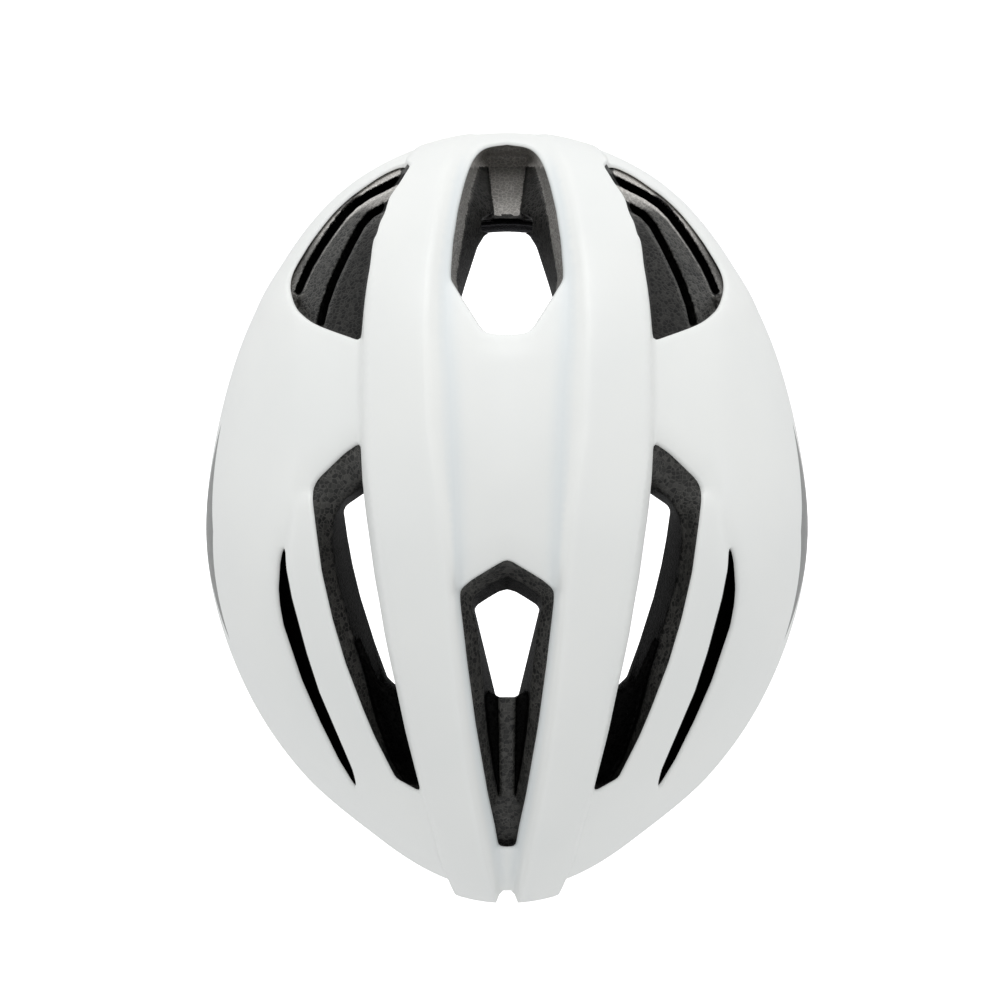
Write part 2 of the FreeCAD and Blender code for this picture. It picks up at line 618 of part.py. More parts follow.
def housing_screw(x):
    seat_y = PIVOT_Y + sqrt(HOUSING_RO ** 2 - (abs(x) - 1.8) ** 2)
    shank = cyl_y(SCREW_R, 87.0, seat_y + 0.2 - 87.0, x, SCREW_Z)
    return shank.fuse(cyl_y(1.7, seat_y + 0.15, 1.2, x, SCREW_Z))


save("cradle_frame", cradle_frame())
save("dial_housing", dial_housing())
save("housing_screws", Part.makeCompound([housing_screw(x) for x in SCREW_XS]))

# Detent spring: a flat strip with a round nib.
SPRING_Z = DIAL_Z - 5.5
spring = box(-13, 13, 94.5, 95.0, SPRING_Z - 2.0, SPRING_Z + 2.0)
save("detent_spring", spring.fuse(cyl_y(0.9, 94.7, 1.6, z=SPRING_Z)).removeSplitter())

# Nape pads on the inner face of the plate.
save_pair("nape_pad", dial_ring(69.4, 73.2, 11, 7, 25))

# Height track: a C section guide fixed in the foam, with a slot for the stem.
track = pivot_arc(86.6, 93.3, -9.0, 21.0, 11.5)
track = track.cut(pivot_arc(STEM_RI - 0.25, STEM_RO + 0.25, -12.0, 24.0, 6.8))
track = track.cut(pivot_arc(80.0, STEM_RI, -12.0, 24.0, 4.6))
save("height_track", biggest(track))

# ---------------------------------------------------------------- dial knob, grip and screw
KNOB_Y = 95.9                      # front face of the knob, towards the head
KNOB_R, KNOB_T = 15.0, 10.6
KNOB_FACE_Y = KNOB_Y + KNOB_T      # rear face
SCREW_SEAT_Y = KNOB_Y + 9.0


def dial_knob():
    knob = cyl_y(KNOB_R, KNOB_Y, KNOB_T)
    knob = knob.cut(cyl_y(7.0, KNOB_Y - 0.2, 1.2).cut(cyl_y(4.0, KNOB_Y - 0.4, 2)))
    knob = knob.cut(cyl_y(SHAFT_R + 0.03, 90, 12.0))
    knob = knob.cut(cyl_y(1.1, 90, 30.0)).cut(cyl_y(2.4, SCREW_SEAT_Y, 5.0))
    rim_edges = [edge for edge in knob.Edges
                 if edge.BoundBox.YMin > KNOB_FACE_Y - 0.1 and edge.BoundBox.XLength > 28]
    return knob.makeFillet(1.2, rim_edges)


def dial_grip(ribs=24, count=144):
    """Ribbed ring round the knob."""
    points = []
    for i in range(count):
        angle = 2 * pi * i / count
        radius = 17.0 + 0.55 * cos(ribs * angle)
        points.append(Vector(radius * cos(angle), KNOB_Y + 2.2, DIAL_Z + radius * sin(angle)))
    ribbed = Part.Face(closed_wire(points)).extrude(Vector(0, 6.6, 0))
    return ribbed.cut(cyl_y(KNOB_R + 0.03, 90, 20))


def pinion_screw():
    """Screw with a cross recess in its head."""
    screw = cyl_y(1.0, 95.0, SCREW_SEAT_Y + 0.1 - 95.0)
    screw = screw.fuse(cyl_y(2.2, SCREW_SEAT_Y + 0.05, 1.1))
    for half_x, half_z in ((1.6, 0.25), (0.25, 1.6)):
        screw = screw.cut(box(-half_x, half_x, SCREW_SEAT_Y + 0.75, SCREW_SEAT_Y + 2,
                              DIAL_Z - half_z, DIAL_Z + half_z))
    return screw.removeSplitter()


save("dial_knob", dial_knob())
save("dial_grip", dial_grip())
save("pinion_screw", pinion_screw())

# ---------------------------------------------------------------- side straps
DIVIDER = Vector(77.5, -12.0, -39.0)   # strap divider centre
DIVIDER_HALF_Y, DIVIDER_HALF_Z = 15.0, 11.0
SLOT_Y = 5.6                       # upper divider slots, either side of the centre
NARROW_W = 9.6                     # webbing width where two straps share the divider


def strap_loft(path, widths, thickness, width_dirs):
    """Flat strap along path; each width lies along its direction, made square to the path."""
    wires = []
    for i, point in enumerate(path):
        along = path[min(i + 1, len(path) - 1)] - path[max(i - 1, 0)]
        along.normalize()
        across = width_dirs[i] - along * width_dirs[i].dot(along)
        across.normalize()
        through = along.cross(across)
        wires.append(closed_wire([
            point + across * (a * widths[i] / 2) + through * (b * thickness / 2)
            for a, b in ((1, 1), (-1, 1), (-1, -1), (1, -1))]))
    return Part.makeLoft(wires, True, True)


def even_strap(path, width, thickness):
    """Strap of constant width lying along Y."""
    return strap_loft(path, [width] * len(path), thickness, [Y_DIR] * len(path))


def anchor_start(anchor):
    """Upper strap end in the anchor, and the width direction there."""
    x, y, heading, _, floor = anchor
    angle = radians(heading)
    return Vector(x, y, floor + 4.2), Vector(cos(angle), sin(angle), 0)


def front_strap():
    top, tangent = anchor_start(FRONT_ANCHOR)
    end = DIVIDER + Vector(0, -SLOT_Y, DIVIDER_HALF_Z - 6.0)
    path = [top, raised(top, -5.0), raised(top, -7.0),
            lerp(raised(top, -6), raised(end, 10), 0.5),
            raised(end, 10), raised(end, 7.3), end]
    width_dirs = [tangent] * 3 + [tangent * 0.5 + Y_DIR * 0.5] + [Y_DIR] * 3
    return strap_loft(path, [WEB_W] * 3 + [14.0] + [NARROW_W] * 3, WEB_T, width_dirs)


def rear_strap():
    top, tangent = anchor_start(REAR_ANCHOR)
    end = DIVIDER + Vector(0, SLOT_Y, DIVIDER_HALF_Z - 6.0)
    path = [top, raised(top, -4.6), raised(top, -7.0), top + Vector(0.3, -10.0, -14.0),
            lerp(top, end, 0.5) + Vector(2.0, 0, -3.0), end + Vector(0, 5.0, 14.5),
            raised(end, 9.5), raised(end, 7.3), end]
    width_dirs = [tangent * -1] * 3
    width_dirs += [Vector(-0.1, 0.75, 0.45), Vector(0, 0.55, 0.83), Vector(0, 0.8, 0.6),
                   Vector(0, 0.95, 0.2), Y_DIR, Y_DIR]
    return strap_loft(path, [WEB_W] * 3 + [14.0, 13.0] + [NARROW_W] * 4, WEB_T, width_dirs)


save_pair("strap_front", front_strap())
save_pair("strap_rear", rear_strap())

# ---------------------------------------------------------------- strap dividers
# Positions below are measured from the divider centre.
BODY_HALF_X = 2.4
HINGE_X, HINGE_Z = BODY_HALF_X + 1.9, -DIVIDER_HALF_Z + 2.4
EAR_T, EAR_R = 2.0, 2.2
LEVER_HALF_Y = DIVIDER_HALF_Y - 2.3


def divider_box(x_min, x_max, y_min, y_max, z_min, z_max):
    return box(x_min, x_max, y_min, y_max, z_min, z_max, DIVIDER)


def hinge_rod(radius, y, length):
    return cyl_y(radius, DIVIDER.y + y, length, DIVIDER.x + HINGE_X, DIVIDER.z + HINGE_Z)


def divider_body():
    half_y, half_z = DIVIDER_HALF_Y, DIVIDER_HALF_Z
    body = divider_box(-BODY_HALF_X, BODY_HALF_X, -half_y, half_y, -half_z, half_z)
    # Two webbing slots from the top and one from the bottom.
    for y, half, low, high in ((-SLOT_Y, NARROW_W / 2 + 0.5, half_z - 7.0, half_z + 1),
                               (SLOT_Y, NARROW_W / 2 + 0.5, half_z - 7.0, half_z + 1),
                               (0, WEB_W / 2 + 0.5, -half_z - 1, -half_z + 8.0)):
        body = body.cut(divider_box(-1.15, 1.15, y - half, y + half, low, high))
    # An ear at each end holds the hinge pin.
    for y in (-half_y, half_y - EAR_T):
        body = body.fuse(divider_box(2.0, HINGE_X, y, y + EAR_T,
                                     HINGE_Z - EAR_R, HINGE_Z + EAR_R))
        body = body.fuse(hinge_rod(EAR_R, y, EAR_T))
        body = body.cut(hinge_rod(1.02, -half_y - 1, 2 * half_y + 2))
    return biggest(body.removeSplitter())


def divider_lever():
    lever = hinge_rod(1.7, -LEVER_HALF_Y, 2 * LEVER_HALF_Y)
    lever = lever.fuse(divider_box(2.7, 5.0, -LEVER_HALF_Y, LEVER_HALF_Y,
                                   HINGE_Z, DIVIDER_HALF_Z - 1.0))
    lever = lever.fuse(divider_box(2.7, 6.2, -6.0, 6.0,
                                   DIVIDER_HALF_Z - 3.0, DIVIDER_HALF_Z + 1.0))
    return lever.cut(hinge_rod(1.05, -DIVIDER_HALF_Y, 2 * DIVIDER_HALF_Y)).removeSplitter()


save_pair("divider_body", divider_body())
hinge_pin = hinge_rod(1.0, -DIVIDER_HALF_Y, 2 * DIVIDER_HALF_Y)
save("divider_pins", Part.makeCompound(pair(hinge_pin)))
save_pair("divider_lever", divider_lever())

# ---------------------------------------------------------------- chin straps, pad, keeper
BUCKLE = Vector(0.0, -34.0, -112.0)    # buckle centre
# The middle run of each chin strap is straight; these are its ends on the left.
RUN_TOP, RUN_BOTTOM = Vector(74.0, -15.5, -62.0), Vector(60.0, -26.5, -94.0)
LEFT_BEND = Vector(51.0, -31.0, -105.0)

upper_run = [raised(DIVIDER, -DIVIDER_HALF_Z + 7.0),
             DIVIDER + Vector(0, -0.6, -DIVIDER_HALF_Z - 4.0),
             RUN_TOP, lerp(RUN_TOP, RUN_BOTTOM, 0.5), RUN_BOTTOM]
left_path = upper_run + [LEFT_BEND, Vector(39.0, -33.6, -111.2), Vector(25.6, BUCKLE.y, -112.6)]
right_path = [flipped(point) for point in upper_run]
right_path += [Vector(-53.0, -31.2, -107.0), Vector(-42.0, -33.6, -116.2),
               Vector(-27.6, BUCKLE.y, -119.0)]
save("chin_strap_left", even_strap(left_path, WEB_W, WEB_T))
save("chin_strap_right", even_strap(right_path, WEB_W, WEB_T))

# Soft sleeve on the left chin strap; the bore runs out past both ends.
sleeve = [lerp(RUN_TOP, RUN_BOTTOM, 0.35), RUN_BOTTOM, LEFT_BEND, Vector(41.0, -33.3, -110.4)]
bore = [lerp(sleeve[0], sleeve[1], -0.2)] + sleeve + [lerp(sleeve[3], sleeve[2], -0.3)]
save("chin_pad", biggest(even_strap(sleeve, 21.0, 6.4).cut(
    even_strap(bore, WEB_W + 1.0, WEB_T + 1.6))))

# Elastic keeper round the straight run of the right chin strap.
keeper_mid = flipped(lerp(RUN_TOP, RUN_BOTTOM, 0.5))
keeper_dir = flipped(RUN_BOTTOM - RUN_TOP)
keeper_dir.normalize()


def keeper_block(half_length, margin_w, margin_t):
    path = [keeper_mid - keeper_dir * half_length, keeper_mid + keeper_dir * half_length]
    return even_strap(path, WEB_W + margin_w, WEB_T + margin_t)


save("strap_keeper", biggest(keeper_block(4.0, 3.6, 3.4).cut(keeper_block(6.0, 0.7, 0.7))))

# ---------------------------------------------------------------- magnetic buckle
# Positions are measured from the buckle centre; catch above, slider below.
BUCKLE_HALF_Y = 11.0
WEB_SLOT_HALF_Y = 8.6
CORNER_R = 3.0
MAGNET_R, MAGNET_T = 4.0, 2.0
MAGNET_POCKET_R = MAGNET_R + 0.1


def buckle_box(x_min, x_max, half_y, z_min, z_max):
    return box(x_min, x_max, -half_y, half_y, z_min, z_max, BUCKLE)


def buckle_disc(radius, z, height):
    return cyl(radius, raised(BUCKLE, z), Z_DIR, height)


def is_vertical(edge):
    return abs(edge.tangentAt(edge.FirstParameter).z) > 0.99


def buckle_catch():
    catch = buckle_box(-14, 22, BUCKLE_HALF_Y, -1.6, 2.4)
    # Two side walls, then the lips under them: x range, top.
    for x_min, x_max, top in ((9.4, 13.4, -1.6), (-13.4, -9.4, -1.6),
                              (6.6, 9.6, -4.4), (-9.6, -6.6, -4.4)):
        catch = catch.fuse(buckle_box(x_min, x_max, BUCKLE_HALF_Y, -6.2, top))
    # Wall that closes the front end of the channel.
    catch = catch.fuse(box(-13.4, 13.4, -BUCKLE_HALF_Y, -9.2, -6.2, -1.6, BUCKLE))
    catch = catch.cut(buckle_box(16.0, 19.0, WEB_SLOT_HALF_Y, -5, 5))
    catch = catch.cut(buckle_disc(MAGNET_POCKET_R, -1.7, 2.2))
    corners = [edge for edge in catch.Edges
               if is_vertical(edge) and edge.BoundBox.XMin > BUCKLE.x + 21.9]
    catch = catch.makeFillet(CORNER_R, corners)
    # Bar at the +X end, then a notch that trims its middle.
    catch = catch.fuse(buckle_box(21, 24.4, BUCKLE_HALF_Y, -2.4, -1.2))
    catch = catch.cut(buckle_box(21.9, 26, 8.4, -2.5, 3))
    return biggest(catch.removeSplitter())


def buckle_slider():
    slider = buckle_box(-9.1, 9.1, 9.0, -4.15, -1.85)
    slider = slider.fuse(buckle_box(-6.3, 6.3, 9.0, -6.6, -4.0))
    slider = slider.fuse(buckle_box(-26.6, 13.4, BUCKLE_HALF_Y, -9.2, -6.5))
    slider = slider.cut(buckle_box(-23.6, -17.0, WEB_SLOT_HALF_Y, -10, -6))
    slider = slider.cut(buckle_disc(MAGNET_POCKET_R, -4.2, MAGNET_T + 0.4))
    slider = slider.cut(buckle_disc(3.0, -4.2, 0.1))
    corners = []
    for edge in slider.Edges:
        bounds = edge.BoundBox
        at_end = bounds.XMin > BUCKLE.x + 13 or bounds.XMax < BUCKLE.x - 26
        if is_vertical(edge) and bounds.ZMax < BUCKLE.z - 6.0 and at_end:
            corners.append(edge)
    return biggest(slider.makeFillet(CORNER_R, corners).removeSplitter())


save("buckle_catch", buckle_catch())
save("catch_magnet", buckle_disc(MAGNET_R, -1.6, MAGNET_T))
save("buckle_slider", buckle_slider())
save("slider_magnet", buckle_disc(MAGNET_R, -4.1, MAGNET_T))
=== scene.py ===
import json
import math
import bpy
import bmesh
import numpy as np
from mathutils import Vector, Matrix
from mathutils.geometry import delaunay_2d_cdt


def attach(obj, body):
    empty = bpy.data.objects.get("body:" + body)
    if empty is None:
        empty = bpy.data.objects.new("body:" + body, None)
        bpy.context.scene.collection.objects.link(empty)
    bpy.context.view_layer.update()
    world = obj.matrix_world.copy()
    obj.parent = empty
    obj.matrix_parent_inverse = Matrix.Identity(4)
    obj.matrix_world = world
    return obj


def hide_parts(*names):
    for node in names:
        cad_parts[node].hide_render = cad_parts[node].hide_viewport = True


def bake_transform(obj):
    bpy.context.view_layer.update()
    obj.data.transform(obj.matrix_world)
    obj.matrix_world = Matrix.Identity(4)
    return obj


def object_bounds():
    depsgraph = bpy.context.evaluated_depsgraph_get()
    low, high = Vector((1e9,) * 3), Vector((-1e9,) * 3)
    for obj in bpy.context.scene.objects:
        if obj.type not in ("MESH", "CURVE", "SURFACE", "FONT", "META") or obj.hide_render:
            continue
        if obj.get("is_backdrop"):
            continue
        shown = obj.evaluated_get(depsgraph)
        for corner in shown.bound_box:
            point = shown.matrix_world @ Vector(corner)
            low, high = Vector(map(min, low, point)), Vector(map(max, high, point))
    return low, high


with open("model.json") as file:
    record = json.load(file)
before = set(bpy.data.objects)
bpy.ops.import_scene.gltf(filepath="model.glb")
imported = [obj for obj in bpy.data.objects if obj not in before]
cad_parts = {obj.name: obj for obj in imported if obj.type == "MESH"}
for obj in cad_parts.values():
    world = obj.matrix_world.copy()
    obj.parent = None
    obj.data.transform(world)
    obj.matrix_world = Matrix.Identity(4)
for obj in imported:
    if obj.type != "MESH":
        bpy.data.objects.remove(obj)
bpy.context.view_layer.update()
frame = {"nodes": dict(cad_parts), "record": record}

NODES = frame["nodes"]
MM = 0.001

# ------------------------------------------------------------------ helmet surface, in millimetres
S, D, ZR = 0.3636, 1500.0, 42.0      # scale of the design plane, height of the view point, height of that plane
PLAN = [120.693, 4.173, 13.628, 0.07, 2.038, -1.214, 0.464, -0.333, 0.34, -0.179]
WAIST = [37.684, -16.266, -0.967, -3.658, 2.667, -1.048]
FULL = [2.1171, -0.0915, -0.0822, -0.0028, 0.0012]
HEADP = [92.861, 4.131, 12.217, 1.7, -0.085, 0.237, 0.011]
CROWN, HEAD_W, HEAD_TOP, HEAD_N = 148.0, 32.0, 118.0, 2.12
RIM = ([-150, -100, -88, -72, -55, -30, 10, 30, 46, 58, 100, 112, 122, 150], [0, 0, 3, 10, 14, 15, 14, 10, 3, 0, 0, 4, 9, 16])
PART = ([-150, -120, -100, -60, -20, 20, 60, 90, 115, 150], [14, 14, 18, 26, 28, 30, 42, 52, 50, 45])

RA = ([-120, -86, -75, -67, -58, -50, -43, -31, -22, -13, -3, 6, 12, 23, 33, 45, 54, 63, 80, 120],
      [9.0, 9.5, 12.9, 15.2, 17.7, 18.9, 19.6, 19.2, 17.6, 16.9, 16.2, 15.5, 15.8, 13.7, 10.8, 6.8, 3.2, 2.2, 2.0, 2.0])
RB = ([-120, -86, -76, -68, -57, -44, -32, -15, -2, 9, 19, 30, 39, 51, 64, 80, 120],
      [14.0, 14.2, 17.6, 20.6, 23.4, 26.0, 26.8, 25.5, 21.8, 19.4, 17.7, 15.2, 12.6, 8.4, 4.4, 3.2, 3.2])
RD = ([-120, -90, -82, -70, -63, -59, -53, -45, -35, -22, -14, -7, 0, 11, 21, 26.5, 29, 36, 45, 54, 68, 85, 120],
      [32.5, 33.0, 34.3, 40.3, 43.7, 45.4, 47.2, 49.1, 50.3, 50.6, 50.1, 49.3, 47.7, 45.1, 42.1, 39.9, 38.3, 35.4, 31.2, 26.4, 21.6, 19.0, 18.0])
RW = ([-90, -70, -60, -45, -20, 0, 15, 35, 60, 90], [0.9, 1.2, 1.8, 3.4, 4.0, 4.8, 5.4, 4.6, 4.0, 3.6])
RH = ([-120, -95, -86, -78, -66, -52, -35, 0, 30, 60, 84, 100, 120], [0.4, 0.5, 0.9, 2.0, 3.4, 4.3, 4.6, 4.6, 4.6, 4.6, 4.4, 3.4, 1.5])


def series(c, p):
    return sum(a * np.cos(k * p) for k, a in enumerate(c))


def smooth(t):
    t = np.clip(t, 0.0, 1.0)
    return t * t * (3 - 2 * t)


def smin(a, b, k):
    h = np.clip(0.5 + 0.5 * (b - a) / k, 0, 1)
    return b * (1 - h) + a * h - k * h * (1 - h)


def base_rz(al, ph):
    A = series(PLAN, ph) + 3.0 * (1 - smooth((ph - 0.38) / 0.44)) - 1.9 * (1 - smooth((math.pi - ph - 0.36) / 0.32))
    ze = series(WAIST, ph)
    B = CROWN - ze
    n = 2 + (series(FULL, ph) - 2) * smooth(al / 0.9)
    am = np.minimum(al, math.pi / 2)
    s = np.maximum(np.sin(am), 1e-9)
    c = np.maximum(np.cos(am), 1e-9)
    R = ((s / A) ** n + (c / B) ** n) ** (-1 / n)
    d = A * np.maximum(al - math.pi / 2, 0)
    k = 0.5 - 0.28 * np.cos(ph)
    low = al > math.pi / 2
    r = np.where(low, A - k * (np.sqrt(d * d + 55.0 ** 2) - 55.0), R * s)
    z = np.where(low, ze - d, ze + R * c)
    return r, z


def base(u, v):
    al = np.hypot(u, v)
    ph = np.arctan2(u, -v)
    r, z = base_rz(al, np.abs(ph))
    return np.stack([r * np.sin(ph), -r * np.cos(ph), z], -1)


def to_px(P):
    """Half width and row of a point in the plan drawing."""
    k = (D - ZR) / (D - P[..., 2])
    return P[..., 0] * k / S, P[..., 1] * k / S + 520.0


def beta(P):
    b = np.degrees(np.arctan2(P[..., 1], np.maximum(P[..., 2] - 30.0, 1e-6)))
    low = np.maximum(30.0 - P[..., 2], 0) * 0.6
    return b + np.sign(P[..., 1]) * low


SLIT_LINE = np.array([(199, 470), (210, 490), (218, 515), (224.5, 540), (229, 563), (231, 589), (229.7, 606), (225.8, 627), (207.3, 682),
                      (189.3, 723), (170.1, 762), (152, 789)], float)


def seg_dist(px, py, pts):
    """Distance from many points to an open polyline."""
    best = np.full(np.shape(px), 1e9)
    for (x0, y0), (x1, y1) in zip(pts[:-1], pts[1:]):
        dx, dy = x1 - x0, y1 - y0
        t = np.clip(((px - x0) * dx + (py - y0) * dy) / (dx * dx + dy * dy + 1e-12), 0, 1)
        best = np.minimum(best, np.hypot(px - x0 - t * dx, py - y0 - t * dy))
    return best


PLAIN = [False]


def relief(P):
    """Height of the rails, creases and dips over the plain dome, for base points P."""
    be = beta(P)
    x = np.abs(P[..., 0])
    a, b, d = np.interp(be, *RA), np.interp(be, *RB), np.interp(be, *RD)
    w, H = np.interp(be, *RW), np.interp(be, *RH)
    t1 = np.clip((x - a) / np.maximum(b - a, 1.0), 0, None) ** 1.45
    t2 = np.clip((d - x) / w, 0, None)
    h = smin(smin(t1, t2, 0.10), np.ones_like(t1), 0.10) * H
    h = np.where((x <= a) | (x >= d), 0, np.maximum(h, 0))
    if PLAIN[0]:
        return h
    hw, y = to_px(P)
    hw = np.abs(hw)
    # camber of the middle plateau
    mid = smooth((y - 333) / 30) * (1 - smooth((y - 470) / 90))
    h = h + 0.9 * mid * np.exp(-(hw / 26.0) ** 2)
    # shoulder crease
    xc = np.interp(y, [270, 290, 330, 400, 470, 540, 640], [222, 216, 208, 208, 209, 214, 222])
    f = smooth((y - 262) / 60) * (1 - smooth((y - 500) / 160))
    s = (hw - xc) * S
    h = h + f * 1.7 * (np.clip(1.12 - np.sqrt(s * s + 2.2) / 13.0, 0, None))
    # groove that leads into the slit
    yy = y
    hp = np.interp(yy, SLIT_LINE[:, 1], SLIT_LINE[:, 0])
    g = (hw - hp)
    out = np.where(g >= 0, np.clip(1 - g / 24.0, 0, 1) ** 2, smooth(1 + g / 11.0))
    tap = smooth((yy - 480) / 90) * (1 - smooth((yy - 640) / 130))
    h = h - 2.2 * tap * out
    # dips above the heads of the side vents and of the rear vent
    dv = seg_dist(hw, y, [(150, 443), (164, 452), (190, 477), (196, 490)])
    up = 1 - smooth((y - (452 + (hw - 150) * 0.75)) / 26.0)
    h = h - 1.7 * np.clip(1 - dv / 24.0, 0, 1) ** 2 * up * smooth((hw - 143) / 7.0)
    dp = seg_dist(hw, y, [(0, 561), (6, 562.5), (20, 570.6), (37, 581), (47, 591)])
    h = h - 2.1 * np.clip(1 - dp / 34.0, 0, 1) ** 2 * (1 - smooth((y - 588) / 30.0)) * (1 - smooth((hw - 46) / 16))
    return h


def base_normal(u, v):
    e = 2e-4
    n = np.cross(base(u, v + e) - base(u, v - e), base(u + e, v) - base(u - e, v))
    n /= np.linalg.norm(n, axis=-1, keepdims=True) + 1e-12
    P = base(u, v) - np.array([0, 0, 40.0])
    sg = np.sign((n * P).sum(-1, keepdims=True))
    return n * sg


def surf(u, v, off=0.0):
    P = base(u, v)
    return P + base_normal(u, v) * (relief(P) + off)[..., None]


def surf_normal(u, v):
    e = 6e-4
    n = np.cross(surf(u, v + e) - surf(u, v - e), surf(u + e, v) - surf(u - e, v))
    n /= np.linalg.norm(n, axis=-1, keepdims=True) + 1e-12
    P = base(u, v) - np.array([0, 0, 40.0])
    sg = np.sign((n * P).sum(-1, keepdims=True))
    return n * sg


def newton(fun, u, v, tx, ty, it=30):
    """Finds the surface parameters at which fun gives (tx, ty)."""
    e = 1e-4
    for _ in range(it):
        a, b = fun(u, v)
        au, bu = fun(u + e, v)
        av, bv = fun(u, v + e)
        j11, j12, j21, j22 = (au - a) / e, (av - a) / e, (bu - b) / e, (bv - b) / e
        rx, ry = tx - a, ty - b
        det = j11 * j22 - j12 * j21
        det = np.where(np.abs(det) < 1e-3, np.sign(det + 1e-9) * 1e-3, det)
        du = (rx * j22 - ry * j12) / det
        dv = (ry * j11 - rx * j21) / det
        m = np.maximum(1.0, np.hypot(du, dv) / 0.08)
        u, v = u + du / m, v + dv / m
        al = np.hypot(u, v)
        lim = 1.53
        sc = np.where(al > lim, lim / al, 1.0)
        u, v = u * sc, v * sc
    return u, v


def px_to_uv(pts):
    pts = np.asarray(pts, float)
    x, y = pts[:, 0] * S, (pts[:, 1] - 520) * S
    rr = np.hypot(x, y)
    ph = np.arctan2(x, -y)
    al = np.arcsin(np.clip(rr / series(PLAN, ph), 0, 0.985))
    u, v = al * np.sin(ph), -al * np.cos(ph)
    tx, ty = pts[:, 0].copy(), pts[:, 1].copy()
    for k in range(4):
        PLAIN[0] = True
        u, v = newton(lambda a, b: to_px(surf(a, b)), u, v, tx, ty, 30 if k == 0 else 12)
        PLAIN[0] = False
        if k == 3:
            break
        a, b = to_px(surf(u, v))
        ex, ey = pts[:, 0] - a, pts[:, 1] - b
        m = np.minimum(1.0, 9.0 / np.maximum(np.hypot(ex, ey), 1e-9))
        tx, ty = tx + 0.8 * ex * m, ty + 0.8 * ey * m
    return u, v


def resample(pts, step, closed=True, soften=2):
    """Evenly spaced points along a polyline in pixels of the plan drawing."""
    p = np.asarray(pts, float)
    if closed:
        p = np.vstack([p, p[:1]])
    seg = np.hypot(*np.diff(p, axis=0).T)
    t = np.concatenate([[0], np.cumsum(seg)])
    n = max(4, int(round(t[-1] / step)))
    q = np.linspace(0, t[-1], n + 1)
    r = np.stack([np.interp(q, t, p[:, 0]), np.interp(q, t, p[:, 1])], 1)
    if closed:
        r = r[:-1]
        for _ in range(soften):
            r = r * 0.5 + 0.25 * (np.roll(r, 1, 0) + np.roll(r, -1, 0))
    else:
        for _ in range(soften):
            r[1:-1] = r[1:-1] * 0.5 + 0.25 * (r[:-2] + r[2:])
    return r


INTAKE = [(0, 141.5), (20, 144), (25.5, 146.5), (31, 152), (36.5, 161), (43, 180), (49.5, 207), (54.5, 240), (56.6, 268), (56.6, 278),
          (43, 300), (29.5, 321), (26.5, 326), (21, 331), (8, 333), (0, 333)]
LOUVRE = [(94.5, 162), (126, 176.7), (156.2, 198), (172.2, 213), (183.5, 226.6), (196.5, 244), (214.3, 273.5), (216.8, 287), (211.1, 307), (200, 320),
          (191.5, 324), (180.5, 328.3), (148, 339.7), (146.2, 336), (143.5, 305), (140.8, 285), (135.5, 256), (129.6, 232), (123.9, 216), (113, 191), (100.5, 169)]
SIDE = [(149.5, 442.7), (163.8, 452.3), (189.5, 477), (193.5, 482.5), (196, 490), (196.4, 500), (193.6, 524), (187, 573), (176.3, 620), (163, 665),
        (145.5, 711), (133.7, 739), (113, 780), (89.5, 793), (87.5, 789), (102.3, 732), (111.7, 688), (116.8, 666), (123.5, 634), (128.9, 601), (133.2, 578),
        (141.3, 521), (143.7, 502), (145.8, 480), (147.5, 446)]
SLIT = [(224.5, 547), (227.1, 552), (229.3, 563), (231, 589), (229.7, 606), (225.8, 627), (207.3, 682), (189.3, 723), (170.1, 762), (155.3, 786), (152.3, 789),
        (152.5, 782), (155.6, 770), (188.9, 692), (201.5, 653), (216.3, 598), (221.4, 571), (222.3, 552)]
PENT = [(0, 560.5), (3, 560.7), (20, 570.6), (37, 581.2), (46.5, 589.5), (47.6, 593), (47.2, 604), (40.4, 663), (31.8, 726), (19.7, 795), (12.2, 829), (9.4, 845),
        (8.6, 849), (0, 849.5)]
CUT_A = [(88, 171), (105.3, 178.3), (122, 187), (138.7, 195.5), (152, 204.5), (163.7, 216), (175.3, 231.5), (185.3, 246), (197, 265.5), (203.7, 280),
         (208.7, 291.7)]
CUT_B = [(106, 199), (120.3, 205.8), (135.3, 214.2), (145.3, 225), (155.3, 243.3), (163.7, 260), (173.7, 281.7), (182, 305), (186.5, 325)]
STEP = 0.0166


def in_poly(px, py, poly):
    inside = np.zeros(np.shape(px), bool)
    n = len(poly)
    j = n - 1
    for i in range(n):
        xi, yi = poly[i]
        xj, yj = poly[j]
        c = ((yi > py) != (yj > py)) & (px < (xj - xi) * (py - yi) / (yj - yi + 1e-12) + xi)
        inside ^= c
        j = i
    return inside


def new_mesh(name, V, F, shade=True):
    me = bpy.data.meshes.new(name)
    me.from_pydata((np.asarray(V) * MM).tolist(), [], [list(map(int, f)) for f in F])
    me.validate(clean_customdata=False)
    me.update()
    ob = bpy.data.objects.new(name, me)
    bpy.context.scene.collection.objects.link(ob)
    if shade:
        me.polygons.foreach_set("use_smooth", [True] * len(me.polygons))
    return ob


def fix_normals(ob):
    bm = bmesh.new()
    bm.from_mesh(ob.data)
    bmesh.ops.recalc_face_normals(bm, faces=bm.faces)
    bm.to_mesh(ob.data)
    bm.free()


